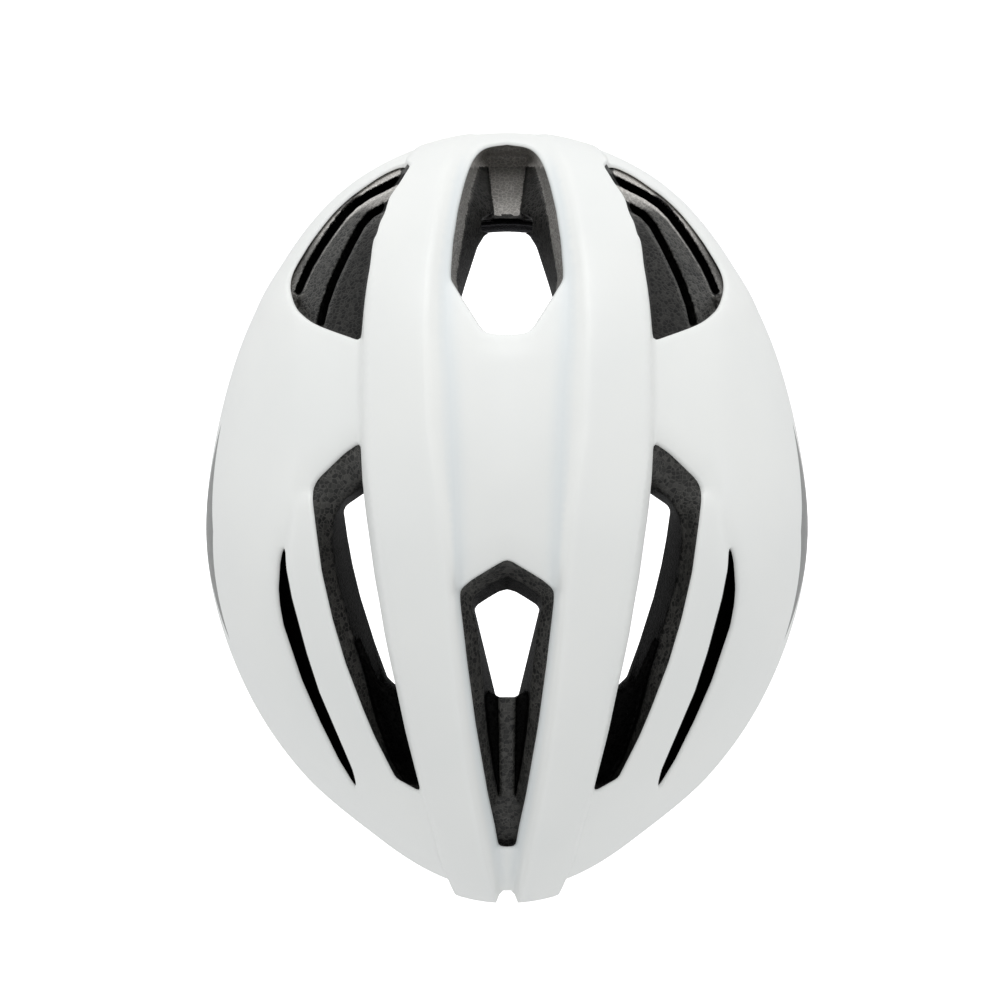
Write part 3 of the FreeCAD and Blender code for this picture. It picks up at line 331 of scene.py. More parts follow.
def build_shell():
    """Upper shell skin: one half meshed in the surface's own parameters, then mirrored."""
    loops = []                                   # parameter loops of the openings (half, u >= 0)
    spec = [(INTAKE, True), (LOUVRE, False), (SIDE, False), (SLIT, False), (PENT, True)]
    open_uv = []
    for pts, mid in spec:
        if mid:
            r = resample(pts, 3.4, closed=False, soften=1)
            r[0, 0] = r[-1, 0] = 0.0
        else:
            r = resample(pts, 3.8 if pts is not SLIT else 3.2, closed=True, soften=1)
            if pts is LOUVRE:
                # the rolled edge stands inside its outline where the skin is steep
                t_ = np.roll(r, -1, 0) - np.roll(r, 1, 0)
                n_ = np.stack([t_[:, 1], -t_[:, 0]], 1) / (np.hypot(t_[:, 0], t_[:, 1])[:, None] + 1e-9)
                if (n_ * (r - r.mean(0))).sum() < 0:
                    n_ = -n_
                d_ = r - np.array([0, 520.0])
                d_ /= np.hypot(d_[:, 0], d_[:, 1])[:, None]
                face_ = (n_ * d_).sum(1)
                r = r + n_ * (4.2 * np.clip(face_, 0, 1) ** 0.5 * smooth((r[:, 0] - 92) / 16.0))[:, None]
        u, v = px_to_uv(r)
        # fair the steep runs, where a small step in plan is a long one on the surface
        w = smooth((np.hypot(u, v) - 0.80) / 0.3) * (1.0 if pts is LOUVRE or pts is INTAKE else 0.0)
        if mid:
            w = w * (np.arange(len(u)) > 0) * (np.arange(len(u)) < len(u) - 1)
        for k_ in range(12):
            if k_ == 4:
                if pts is not LOUVRE:
                    break
                w = np.maximum(w, 0.6) * (face_ < 0.1) * (r[:, 0] > 104) * (r[:, 1] < 330)
            for q in (u, v):
                a, b = np.roll(q, 1), np.roll(q, -1)
                if mid:
                    a[0], b[-1] = q[0], q[-1]
                q += 0.5 * w * ((a + b) / 2 - q)
        if mid:
            u[0] = u[-1] = 0.0
            v[0], v[-1] = v[0] * 0.9 + v[1] * 0.1, v[-1] * 0.9 + v[-2] * 0.1
        open_uv.append((np.stack([u, v], 1), mid))
    # parting line
    phs = np.linspace(0, math.pi, 360)
    al = np.linspace(1.2, 2.3, 600)
    part = []
    for ph in phs:
        r, z = base_rz(al, np.full_like(al, ph))
        zp = np.interp(-r * math.cos(ph), *PART)
        f = z - zp
        i = int(np.argmax(f < 0))
        t = f[i - 1] / (f[i - 1] - f[i])
        a = al[i - 1] + t * (al[i] - al[i - 1])
        part.append((a * math.sin(ph), -a * math.cos(ph)))
    part = np.array(part)
    part[0, 0] = part[-1, 0] = 0.0

    verts, edges, kinds = [], [], []

    def add(line, closed):
        i0 = len(verts)
        verts.extend([tuple(p) for p in line])
        n = len(line)
        edges.extend([(i0 + i, i0 + i + 1) for i in range(n - 1)])
        if closed:
            edges.append((i0 + n - 1, i0))
        return i0

    add(part, False)
    for uv, mid in open_uv:
        add(uv, not mid)

    # distance of parameter points to the boundaries, in millimetres
    def bdist(u, v, lines):
        P = base(u, v)
        best = np.full(len(u), 1e9)
        for L, closed in lines:
            Q = base(L[:, 0], L[:, 1])
            if closed:
                Q = np.vstack([Q, Q[:1]])
            for a, b in zip(Q[:-1], Q[1:]):
                ab = b - a
                t = np.clip(((P - a) @ ab) / (ab @ ab + 1e-12), 0, 1)
                dd = ((P - a - t[:, None] * ab) ** 2).sum(1)
                best = np.minimum(best, dd)
        return np.sqrt(best)

    blines = [(part, False)] + [(uv, not mid) for uv, mid in open_uv]
    vent_lines = blines[1:]

    def inside_any(u, v):
        m = np.zeros(len(u), bool)
        for uv, mid in open_uv:
            poly = uv
            if mid:
                poly = np.vstack([uv, [[-0.05, uv[-1, 1]], [-0.05, uv[0, 1]]]])
            m |= in_poly(u, v, poly)
        return m

    part_poly = np.vstack([part, [[-0.05, part[-1, 1]], [-0.05, part[0, 1]]]])

    # offset rings round the openings and along the parting line, for the rolled edge
    for (L, closed) in blines:
        Q = np.asarray(L)
        if closed:
            tan = np.roll(Q, -1, 0) - np.roll(Q, 1, 0)
        else:
            tan = np.gradient(Q, axis=0)
        nrm = np.stack([tan[:, 1], -tan[:, 0]], 1)
        nrm /= np.linalg.norm(nrm, axis=1, keepdims=True) + 1e-12
        is_part = L is part
        for off in (0.45, 1.05):
            for sgn in (1, -1):
                # metric: millimetres per parameter unit along the normal
                e = 1e-3
                P0 = base(Q[:, 0], Q[:, 1])
                P1 = base(Q[:, 0] + nrm[:, 0] * e, Q[:, 1] + nrm[:, 1] * e)
                g = np.linalg.norm(P1 - P0, axis=1) / e
                R = Q + nrm * (sgn * off / g)[:, None]
                ok = (R[:, 0] > 2e-3) & ~inside_any(R[:, 0], R[:, 1]) & in_poly(R[:, 0], R[:, 1], part_poly)
                dd = bdist(R[:, 0], R[:, 1], blines)
                ok &= dd > off * 0.86
                if ok.sum() > 3:
                    verts.extend([tuple(p) for p in R[ok]])

    # crease lines of the rails
    crease = []
    for tab, dx in ((RA, 0.0), (RB, 0.0), (RD, -1.0), (RD, 0.0), (RA, 1.6), (RB, -1.4), (RB, 1.3), (RD, 1.2)):
        be = np.arange(-86, 92, 0.72)
        w = np.interp(be, *RW)
        x = np.interp(be, *tab) + (-w if dx == -1.0 else dx)
        al0 = np.radians(np.abs(be)) * 0.98
        u = x / 130.0
        v = np.sign(be) * np.sqrt(np.clip(al0 ** 2 - u ** 2, 0, None))
        u, v = newton(lambda a, b: (lambda P: (P[..., 0], beta(P)))(base(a, b)), u, v, x, be)
        P = base(u, v)
        good = (np.abs(P[:, 0] - x) < 0.3) & (np.abs(beta(P) - be) < 0.5)
        crease.append((np.stack([u, v], 1), good))
    for L, good in crease:
        dd = bdist(L[:, 0], L[:, 1], blines)
        ok = good & (dd > 1.25) & ~inside_any(L[:, 0], L[:, 1]) & in_poly(L[:, 0], L[:, 1], part_poly) & (L[:, 0] > 0.004)
        idx = -1
        for i in range(len(L)):
            if ok[i]:
                verts.append(tuple(L[i]))
                if idx == i - 1 and i > 0 and ok[i - 1]:
                    edges.append((len(verts) - 2, len(verts) - 1))
                idx = i
    # middle line
    vs = np.arange(part[0, 1] + 0.004, part[-1, 1] - 0.004, STEP)
    ok = np.ones(len(vs), bool)
    for uv, mid in open_uv:
        if mid:
            lo, hi = sorted((uv[0, 1], uv[-1, 1]))
            ok &= ~((vs > lo - 0.006) & (vs < hi + 0.006))
    extra = []
    for uv, mid in open_uv:
        if mid:
            for k, sg in ((0, -1), (-1, 1)):
                for off in (0.45, 1.05):
                    e = 1e-3
                    g = float(np.linalg.norm(base(np.array([0.0]), np.array([uv[k, 1] + e])) - base(np.array([0.0]), np.array([uv[k, 1]])))) / e
                    extra.append(float(uv[k, 1] + sg * off / g))
    ok &= np.array([min(abs(t - e) for e in extra) > 0.009 for t in vs])
    mids = [(0.0, float(t)) for t in vs[ok]] + [(0.0, t) for t in extra]
    verts.extend(mids)
    # keep the middle line as an edge of the half: sorted by v, between all points at u = 0
    z0 = sorted([i for i, p in enumerate(verts) if abs(p[0]) < 1e-9], key=lambda i: verts[i][1])
    for a, b in zip(z0[:-1], z0[1:]):
        edges.append((a, b))
    # regular fill
    fixed = np.array(verts)
    us = np.arange(0.008, 2.3, STEP)
    rows = np.arange(-2.3, 2.3, STEP * 0.866)
    G = np.array([(x + (0.5 * STEP if k % 2 else 0), y) for k, y in enumerate(rows) for x in us])
    keep = in_poly(G[:, 0], G[:, 1], part_poly) & ~inside_any(G[:, 0], G[:, 1])
    G = G[keep]
    # drop fill points that crowd the fixed ones
    cell = STEP * 0.62
    keys = {}
    for p in fixed:
        keys.setdefault((int(math.floor(p[0] / cell)), int(math.floor(p[1] / cell))), []).append(p)
    out = []
    for p in G:
        a, b = int(math.floor(p[0] / cell)), int(math.floor(p[1] / cell))
        near = False
        for i in (-1, 0, 1):
            for j in (-1, 0, 1):
                for q in keys.get((a + i, b + j), ()):
                    if (p[0] - q[0]) ** 2 + (p[1] - q[1]) ** 2 < cell * cell:
                        near = True
                        break
                if near:
                    break
            if near:
                break
        if not near:
            out.append((p[0], p[1]))
    verts.extend(out)
    res = delaunay_2d_cdt([Vector(p) for p in verts], edges, [], 0, 1e-7)
    UV = np.array([(p[0], p[1]) for p in res[0]])
    F = np.array([f for f in res[2] if len(f) == 3])
    c = UV[F].mean(1)
    ok = in_poly(c[:, 0], c[:, 1], part_poly) & ~inside_any(c[:, 0], c[:, 1]) & (c[:, 0] > 0)
    F = F[ok]
    used = np.unique(F)
    remap = -np.ones(len(UV), int)
    remap[used] = np.arange(len(used))
    UV, F = UV[used], remap[F]
    UV[np.abs(UV[:, 0]) < 1e-6, 0] = 0.0
    # rolled edges
    u, v = UV[:, 0], UV[:, 1]
    P = surf(u, v)
    N = surf_normal(u, v)
    mid = u == 0
    N[mid, 0] = 0
    N /= np.linalg.norm(N, axis=1, keepdims=True)
    dv = bdist(u, v, vent_lines)
    dp = bdist(u, v, [(part, False)])
    r1, r2 = 1.05, 0.6
    drop = np.where(dv < r1, r1 - np.sqrt(np.clip(r1 ** 2 - (r1 - dv) ** 2, 0, None)), 0)
    drop = np.maximum(drop, np.where(dp < r2, r2 - np.sqrt(np.clip(r2 ** 2 - (r2 - dp) ** 2, 0, None)), 0))
    Nb = base_normal(u, v)
    Nb[mid, 0] = 0
    tb = np.clip(drop / 0.15, 0, 1)[:, None]
    Nr = N * (1 - tb) + Nb * tb
    Nr /= np.linalg.norm(Nr, axis=1, keepdims=True)
    outer = P - Nr * drop[:, None]
    inner = P - Nr * np.maximum(1.25, drop + 0.25)[:, None]
    outer[mid, 0] = inner[mid, 0] = 0
    n = len(P)
    # boundary edges of the half, without the middle line
    E = {}
    for f in F:
        for a, b in ((f[0], f[1]), (f[1], f[2]), (f[2], f[0])):
            k = (min(a, b), max(a, b))
            E[k] = E.get(k, 0) + 1
    B = [k for k, c_ in E.items() if c_ == 1 and not (mid[k[0]] and mid[k[1]])]
    faces = [tuple(f) for f in F] + [(f[0] + n, f[2] + n, f[1] + n) for f in F]
    for a, b in B:
        faces.append((a, b, b + n, a + n))
    Vh = np.vstack([outer, inner])
    m = np.concatenate([mid, mid])
    # mirror
    Vm = Vh * np.array([-1, 1, 1])
    idx = np.where(m, np.arange(2 * n), np.arange(2 * n) + 2 * n)
    allV = np.vstack([Vh, Vm])
    faces_m = [tuple(int(idx[i]) for i in reversed(f)) for f in faces]
    faces = [tuple(int(i) for i in f) for f in faces] + faces_m
    used = sorted(set(i for f in faces for i in f))
    rm = {o: k for k, o in enumerate(used)}
    ob = new_mesh("upper_shell_skin", allV[used], [tuple(rm[i] for i in f) for f in faces])
    fix_normals(ob)
    # painted shade and painted highlight of the rails: a shade darker in the creases (painted shade), a shade lighter
    # on the crests (painted highlight)
    W = np.array([w.co for w in ob.data.vertices], float) / MM
    be = beta(W)
    x = np.abs(W[:, 0])
    band = smooth((78 - np.abs(be)) / 14.0)
    painted_relief_shade = 0.5 - 0.42 * band * np.exp(-((x - np.interp(be, *RA) - 1.4) / 3.0) ** 2) + 0.45 * band * np.exp(-((x - np.interp(be, *RB)) / 2.0) ** 2)
    at = ob.data.attributes.new("painted_relief_shade", "FLOAT", "POINT")
    at.data.foreach_set("value", np.clip(painted_relief_shade, 0, 1).astype(np.float32))
    return ob


# ------------------------------------------------------------------ materials
def mat(name):
    m = bpy.data.materials.new(name)
    m.use_nodes = True
    nt = m.node_tree
    nt.nodes.clear()
    out = nt.nodes.new("ShaderNodeOutputMaterial")
    b = nt.nodes.new("ShaderNodeBsdfPrincipled")
    nt.links.new(b.outputs[0], out.inputs[0])
    tc = nt.nodes.new("ShaderNodeTexCoord")
    return m, nt, b, tc


def node(nt, kind, **kw):
    n = nt.nodes.new(kind)
    for k, v in kw.items():
        if k in n.inputs:
            n.inputs[k].default_value = v
        else:
            setattr(n, k, v)
    return n


def mixc(nt, fac, a, b, mode="MIX"):
    n = nt.nodes.new("ShaderNodeMix")
    n.data_type = "RGBA"
    n.blend_type = mode
    for i, x in ((0, fac), (6, a), (7, b)):
        if hasattr(x, "links") or hasattr(x, "is_output"):
            nt.links.new(x, n.inputs[i])
        else:
            n.inputs[i].default_value = x
    return n.outputs[2]


def ramp(nt, fac, stops):
    n = nt.nodes.new("ShaderNodeValToRGB")
    e = n.color_ramp.elements
    while len(e) < len(stops):
        e.new(0.5)
    for k, (p, c) in enumerate(stops):
        e[k].position = p
        e[k].color = c if len(c) == 4 else (*c, 1)
    nt.links.new(fac, n.inputs[0])
    return n.outputs[0]


def math_n(nt, op, a, b=None, c=None):
    n = nt.nodes.new("ShaderNodeMath")
    n.operation = op
    for i, x in enumerate((a, b, c)):
        if x is None:
            continue
        if isinstance(x, (int, float)):
            n.inputs[i].default_value = x
        else:
            nt.links.new(x, n.inputs[i])
    return n.outputs[0]


def bump(nt, b, height, strength, dist, under=None):
    n = nt.nodes.new("ShaderNodeBump")
    n.inputs["Strength"].default_value = strength
    n.inputs["Distance"].default_value = dist
    nt.links.new(height, n.inputs["Height"])
    if under is not None:
        nt.links.new(under, n.inputs["Normal"])
    nt.links.new(n.outputs[0], b.inputs["Normal"])
    return n.outputs[0]


def noise(nt, tc, scale, detail=4.0, rough=0.5):
    n = node(nt, "ShaderNodeTexNoise", Scale=scale, Detail=detail, Roughness=rough)
    nt.links.new(tc.outputs["Object"], n.inputs["Vector"])
    return n.outputs["Fac"]


def m_shell():
    m, nt, b, tc = mat("shell_white")
    n1 = noise(nt, tc, 22.0, 3.0)
    n2 = noise(nt, tc, 900.0, 2.0)
    n3 = noise(nt, tc, 260.0, 2.0)
    c = ramp(nt, n1, [(0.3, (0.89, 0.905, 0.90)), (0.7, (0.915, 0.925, 0.915))])
    # plain grey tapered stripe low on each side
    sep = nt.nodes.new("ShaderNodeSeparateXYZ")
    nt.links.new(tc.outputs["Object"], sep.inputs[0])
    ax = math_n(nt, "ABSOLUTE", sep.outputs[0])
    zc = math_n(nt, "MULTIPLY_ADD", sep.outputs[1], 0.10, 0.067)
    dz = math_n(nt, "ABSOLUTE", math_n(nt, "SUBTRACT", sep.outputs[2], zc))
    wd = math_n(nt, "MULTIPLY_ADD", math_n(nt, "ABSOLUTE", math_n(nt, "SUBTRACT", sep.outputs[1], 0.004)), -0.27, 0.0105)
    inside = math_n(nt, "MULTIPLY", math_n(nt, "LESS_THAN", dz, wd), math_n(nt, "GREATER_THAN", ax, 0.085))
    # painted shade in the rails' creases and painted highlight on their crests, read from the mesh and multiplied into
    # the white
    painted_relief_shade = nt.nodes.new("ShaderNodeAttribute")
    painted_relief_shade.attribute_name = "painted_relief_shade"
    c = mixc(nt, 1.0, c, ramp(nt, painted_relief_shade.outputs["Fac"], [(0.0, (0.84, 0.87, 0.885)), (0.5, (0.962, 0.96, 0.945)), (1.0, (1.0, 0.995, 0.975))]), "MULTIPLY")
    c = mixc(nt, inside, c, (0.15, 0.153, 0.148, 1))
    nt.links.new(c, b.inputs["Base Color"])
    r = ramp(nt, n3, [(0.35, (0.36, 0.36, 0.36)), (0.65, (0.43, 0.43, 0.43))])
    nt.links.new(r, b.inputs["Roughness"])
    b.inputs["Coat Weight"].default_value = 0.14
    b.inputs["Coat Roughness"].default_value = 0.32
    b.inputs["Subsurface Weight"].default_value = 0.0
    bump(nt, b, n2, 0.05, 0.0002)
    return m


def m_eps(dark=1.0):
    m, nt, b, tc = mat("eps_foam")
    w = noise(nt, tc, 700.0, 2.0)
    add = node(nt, "ShaderNodeVectorMath", operation="MULTIPLY_ADD")
    comb = nt.nodes.new("ShaderNodeCombineXYZ")
    for i in range(3):
        nt.links.new(w, comb.inputs[i])
    nt.links.new(comb.outputs[0], add.inputs[0])
    add.inputs[1].default_value = (0.0006, 0.0006, 0.0006)
    nt.links.new(tc.outputs["Object"], add.inputs[2])
    ve = node(nt, "ShaderNodeTexVoronoi", feature="DISTANCE_TO_EDGE", Scale=650.0)
    vc = node(nt, "ShaderNodeTexVoronoi", feature="F1", Scale=650.0)
    nt.links.new(add.outputs[0], ve.inputs["Vector"])
    nt.links.new(add.outputs[0], vc.inputs["Vector"])
    sepc = nt.nodes.new("ShaderNodeSeparateColor")
    nt.links.new(vc.outputs["Color"], sepc.inputs[0])
    bead = ramp(nt, sepc.outputs[0], [(0.0, (0.012, 0.012, 0.012)), (0.55, (0.030, 0.030, 0.028)), (1.0, (0.085, 0.083, 0.078))])
    edge = ramp(nt, ve.outputs["Distance"], [(0.0, (1, 1, 1)), (0.11, (0, 0, 0))])
    big = noise(nt, tc, 60.0, 3.0)
    ecol = ramp(nt, big, [(0.3, (0.075, 0.073, 0.068)), (0.7, (0.15, 0.146, 0.137))])
    c = mixc(nt, edge, bead, ecol)
    # painted light and shade from the 'lit' attribute: deep walls darkened, their specular lowered, and lit facets
    # mixed towards pale colours as painted highlights
    lit = nt.nodes.new("ShaderNodeAttribute")
    lit.attribute_name = "lit"
    mul = ramp(nt, lit.outputs["Fac"], [(0.0, (0.04, 0.04, 0.04)), (0.10, (0.08, 0.08, 0.08)), (0.44, (0.60, 0.60, 0.59)), (0.68, (0.85, 0.84, 0.82)), (1.0, (1.0, 1.0, 1.0))])
    nt.links.new(ramp(nt, lit.outputs["Fac"], [(0.05, (0.06, 0.06, 0.06)), (0.44, (0.35, 0.35, 0.35))]), b.inputs["Specular IOR Level"])
    c = mixc(nt, 1.0, c, mul, "MULTIPLY")
    light = ramp(nt, lit.outputs["Fac"], [(0.72, (0, 0, 0)), (1.0, (1, 1, 1))])
    pale = mixc(nt, edge, (0.46, 0.44, 0.415, 1), (0.78, 0.755, 0.715, 1))
    c = mixc(nt, light, c, pale)
    nt.links.new(c, b.inputs["Base Color"])
    b.inputs["Roughness"].default_value = 0.55
    h = math_n(nt, "MINIMUM", math_n(nt, "MULTIPLY", ve.outputs["Distance"], 3.0), 0.6)
    b1 = bump(nt, b, h, 0.55, 0.0004)
    bump(nt, b, noise(nt, tc, 3000.0, 2.0), 0.25, 0.0001, b1)
    return m


def m_black(name="shell_black", col=(0.022, 0.022, 0.024), rough=0.38, grain=1800.0, strength=0.12):
    m, nt, b, tc = mat(name)
    n1 = noise(nt, tc, grain, 3.0)
    n2 = noise(nt, tc, 40.0, 4.0)
    c = ramp(nt, n2, [(0.3, tuple(x * 0.8 for x in col)), (0.7, tuple(min(1, x * 1.25 + 0.003) for x in col))])
    nt.links.new(c, b.inputs["Base Color"])
    r = ramp(nt, n1, [(0.3, (rough - 0.06,) * 3), (0.7, (rough + 0.08,) * 3)])
    nt.links.new(r, b.inputs["Roughness"])
    bump(nt, b, n1, strength, 0.0002)
    return m


# ------------------------------------------------------------------ foam liner as a distance field
def poly_sdf(poly, hw, y):
    """Signed distance (mm, positive inside) of a polygon in plan pixels, sampled on a grid."""
    H, Y = np.meshgrid(hw, y, indexing="ij")
    p = list(map(tuple, poly))
    d = seg_dist(H, Y, p + [p[0]])
    return np.where(in_poly(H, Y, p), d, -d) * S


def sym(half):
    """Polygon that crosses the middle line: mirrored to the other side."""
    return list(half) + [(-a, b) for a, b in reversed(half) if a > 0]


def build_foam():
    vox = 1.0
    xs = np.arange(0, 112, vox)
    ys = np.arange(-142, 140, vox)
    zs = np.arange(-3, 152, vox)
    C = np.array([0, 0, 35.0])
    # polar tables of the outer surface and of the head cavity round C
    nph, nel = 241, 421
    ph = np.linspace(0, math.pi, nph)
    el = np.linspace(-0.75, math.pi / 2, nel)
    al = np.linspace(0.0, 2.35, 900)
    Ro = np.zeros((nph, nel))
    Rh = np.zeros((nph, nel))
    Ca = np.zeros((nph, nel))
    for i, p in enumerate(ph):
        r, z = base_rz(al, np.full_like(al, p))
        e = np.arctan2(z - C[2], r)
        a = np.interp(el, e[::-1], al[::-1])
        u, v = a * math.sin(p), -a * math.cos(p)
        P = base(u, v)
        N = base_normal(u, v)
        dirv = P - C
        R = np.linalg.norm(dirv, axis=1)
        cs = np.clip((N * dirv).sum(1) / R, 0.55, 1)
        Ro[i] = R + relief(P) / cs
        Ca[i] = cs
        A, B = series(HEADP, p), HEAD_TOP - HEAD_W
        n = 2 + (HEAD_N - 2) * smooth(al / 0.9)
        am = np.minimum(al, math.pi / 2)
        s, c = np.maximum(np.sin(am), 1e-9), np.maximum(np.cos(am), 1e-9)
        Rr = ((s / A) ** n + (c / B) ** n) ** (-1 / n)
        low = al > math.pi / 2
        r = np.where(low, A, Rr * s)
        z = np.where(low, HEAD_W - A * (al - math.pi / 2), HEAD_W + Rr * c)
        e = np.arctan2(z - C[2], r)
        rr = np.hypot(r, z - C[2])
        Rh[i] = np.interp(el, e[::-1], rr[::-1])
    X, Y, Z = np.meshgrid(xs, ys, zs, indexing="ij")
    X, Y, Z = X.ravel().astype(np.float32), Y.ravel().astype(np.float32), Z.ravel().astype(np.float32)
    r3 = np.sqrt(X * X + Y * Y)
    rad = np.sqrt(r3 * r3 + (Z - C[2]) ** 2)
    fe = (np.arctan2(Z - C[2], r3) - el[0]) / (el[1] - el[0])
    fp = np.arctan2(X, -Y) / (ph[1] - ph[0])

    def look(T, a, b):
        i = np.clip(a.astype(int), 0, T.shape[0] - 2)
        j = np.clip(b.astype(int), 0, T.shape[1] - 2)
        p, q = np.clip(a - i, 0, 1), np.clip(b - j, 0, 1)
        return T[i, j] * (1 - p) * (1 - q) + T[i + 1, j] * p * (1 - q) + T[i, j + 1] * (1 - p) * q + T[i + 1, j + 1] * p * q

    ca = look(Ca, fp, fe)
    t = (look(Ro, fp, fe) - rad) * ca - 1.35          # depth under the skin
    dh = (rad - look(Rh, fp, fe)) * 0.97              # height over the head cavity
    zr = np.interp(Y, *RIM)
    F = np.minimum(np.minimum(t, dh), (Z - zr) * 0.96).astype(np.float32)
    act = np.nonzero((t > -3) & (dh > -3))[0]
    x, y, z, tt, hh = X[act], Y[act], Z[act], t[act], dh[act]
    k = (D - ZR) / (D - z) / S
    hwv, yv = x * k, y * k + 520
    gh, gy = np.arange(-12, 320, 1.0), np.arange(100, 940, 1.0)
    fa, fb = hwv - gh[0], yv - gy[0]

    def pix(poly):
        return look(poly_sdf(poly, gh, gy), fa, fb)

    def pline(pts):
        H, Yg = np.meshgrid(gh, gy, indexing="ij")
        return look(seg_dist(H, Yg, pts) * S, fa, fb)

    G = F[act]
    # height of the skin straight above each sample, in the plan view
    cg, cy = np.arange(0, 321, 8.0), np.arange(100, 941, 8.0)
    H, Yg = np.meshgrid(cg, cy, indexing="ij")
    q = np.stack([H.ravel(), Yg.ravel()], 1)
    u, v = px_to_uv(q)
    Pq = base(u, v)
    bad = np.hypot(to_px(Pq)[0] - q[:, 0], to_px(Pq)[1] - q[:, 1]) > 25
    zq = np.where(bad, 40.0, Pq[:, 2]).reshape(H.shape)
    ztop = look(zq, np.clip(hwv / 8.0, 0, len(cg) - 1.001), np.clip((yv - 100) / 8.0, 0, len(cy) - 1.001))
    thick = tt + hh + 1e-3
    REC = 1.6                                          # foam sits this far back from the skin's edge, in px

    def carve(G, duct):
        return np.minimum(G, -duct)

    # side vents: shallow outer facet, steep inner wall, opening through to the cavity
    rail = [(84, 790), (97.5, 732), (107, 688), (112, 666), (119, 634), (124, 601), (128.5, 578), (136.8, 521), (139, 502), (141, 480), (143, 446)]
    O = [(150.5, 441.5), (164.5, 451), (190.5, 476), (197.2, 489), (197.8, 500), (195, 524), (188.5, 573), (177.8, 620), (164.5, 665),
         (147, 711), (135, 740), (114, 782), (91, 794)]
    M = [(139, 482), (146, 486), (164, 500), (174, 518), (177, 540), (172, 578), (159.5, 624), (145, 670), (131.5, 720), (117, 760), (103, 782), (94, 786)]
    Hs = [(139, 490.5), (146, 495.5), (160, 505), (163.3, 510), (159.3, 538), (154.3, 565), (146.5, 597), (132, 643), (119.5, 677), (110, 686)]
    gO, gM, gH = pix(O + rail), pix(M + [p for p in rail if p[1] > 481]), pix(Hs + [p for p in rail if 484 < p[1] < 690])
    f1 = np.clip((tt + 1.5) / 8.5, 0, 1)
    d1 = (1 - f1) * gO + f1 * gM
    f2 = np.clip((tt - 5.5) / np.maximum(thick - 9.0, 6), 0, 1)
    d2 = (1 - f2) * gM + f2 * gH
    low = np.minimum(np.minimum(gM - 0.10 * np.maximum(tt - 5.5, 0), np.interp(yv, [640, 690, 760, 790], [12, 17, 13, 7]) - tt), hh - 4.0)
    d2 = np.where(yv > 640, np.maximum(d2, low), d2)
    duct = np.where(tt < 7.0, d1, d2)
    G = carve(G, duct)
    # slits
    sl = [(p[0], p[1]) for p in SLIT]
    gS = pix(sl)
    G = carve(G, np.minimum(gS + 0.3, np.minimum(np.minimum(19.0 - tt, hh - 5.0), z - (ztop - 24.0))))
    # rear vent
    gO = pix(sym([(0, 559), (20.5, 569), (38, 580), (48.4, 590), (49, 604), (42, 663), (33.4, 726), (21, 795), (13.2, 829), (9, 846), (0, 848)]))
    gM = pix(sym([(0, 575), (17, 583), (32.5, 595), (35.5, 604), (30.5, 625), (24.5, 680), (20, 730), (14, 770), (8, 800), (6, 810), (0, 810)]))
    rib = np.interp(yv, [690, 800], [9.0, 7.3])
    gH = pix(sym([(0, 589.5), (8, 591.5), (19, 598), (29, 604.5), (32.5, 608.5), (11, 697), (0, 697)]))
    f1 = np.clip((tt + 1.5) / 7.5, 0, 1)
    d1 = (1 - f1) * gO + f1 * gM
    f2 = np.clip((tt - 6.0) / np.maximum(thick - 10.0, 6), 0, 1)
    d2 = (1 - f2) * gM + f2 * gH
    chan = np.minimum(np.minimum(gM - 0.06 * np.maximum(tt - 6, 0), (hwv - rib) * S), np.interp(yv, [690, 760, 806], [17.0, 14.0, 6.0]) - tt)
    chan = np.minimum(chan, hh - 4.0)
    fl = np.interp(yv, [690, 700, 760, 806, 846], [7.5, 7.5, 6.6, 4.2, 2.6])
    back = np.maximum(np.minimum(np.where(tt < 6.0, np.maximum(d1, np.where(hwv < rib, gM, -9)), gM), fl - tt), chan)
    hole = np.where(tt < 6.0, d1, d2)
    duct = np.where(yv < 694, hole, np.maximum(np.minimum(hole, gH), back))
    G = carve(G, np.where(yv > 806, np.minimum(gO, fl - tt), duct))
    # front intake
    gO = pix(sym([(0, 142.5), (19.5, 145), (25, 147.5), (32, 152.5), (38, 161), (44.6, 180), (51, 207), (56, 240), (58.2, 268), (58.6, 279), (46, 302), (32, 324),
                  (24, 333), (8, 336), (0, 336)]))
    gM = pix(sym([(0, 150), (18, 151.5), (25, 157), (31, 170), (36.5, 190), (41, 215), (45, 240), (48.0, 262), (51, 278), (47, 302), (33, 324), (24, 333), (8, 336), (0, 336)]))
    gH = pix(sym([(0, 229.5), (11, 230.5), (22, 235), (29.5, 247), (35, 264), (41.5, 284), (46.5, 301), (33, 324), (24, 334), (8, 337), (0, 337)]))
    f1 = np.clip((tt + 1.5) / 8.0, 0, 1)
    d1 = (1 - f1) * gO + f1 * gM
    f2 = np.clip((tt - 6.5) / np.maximum(thick - 9.0, 6), 0, 1)
    hb = (1 - f2) * gM + f2 * gH
    # throat ahead of the hole: floor ramp that climbs to the rear
    zf = np.interp(y, [-138, -134.6, -133.6, -130.6, -109.0, -104], [37.4, 37.4, 29.0, 31.5, 51.5, 56.0])
    side = np.interp(yv, [150, 163, 213, 219, 240], [22, 21, 14, 26, 25])
    trough = np.minimum((side - hwv) * S, z - zf)
    front = smooth((232 - yv) / 6)
    d2 = np.where(yv < 232, np.maximum(np.minimum(hb, z - zf - 2.5 * (1 - 0)), np.minimum(trough, gM)), hb)
    duct = np.where(tt < 6.5, d1, d2)
    duct = np.where(yv < 232, np.minimum(duct, z - zf), duct)
    G = carve(G, duct)
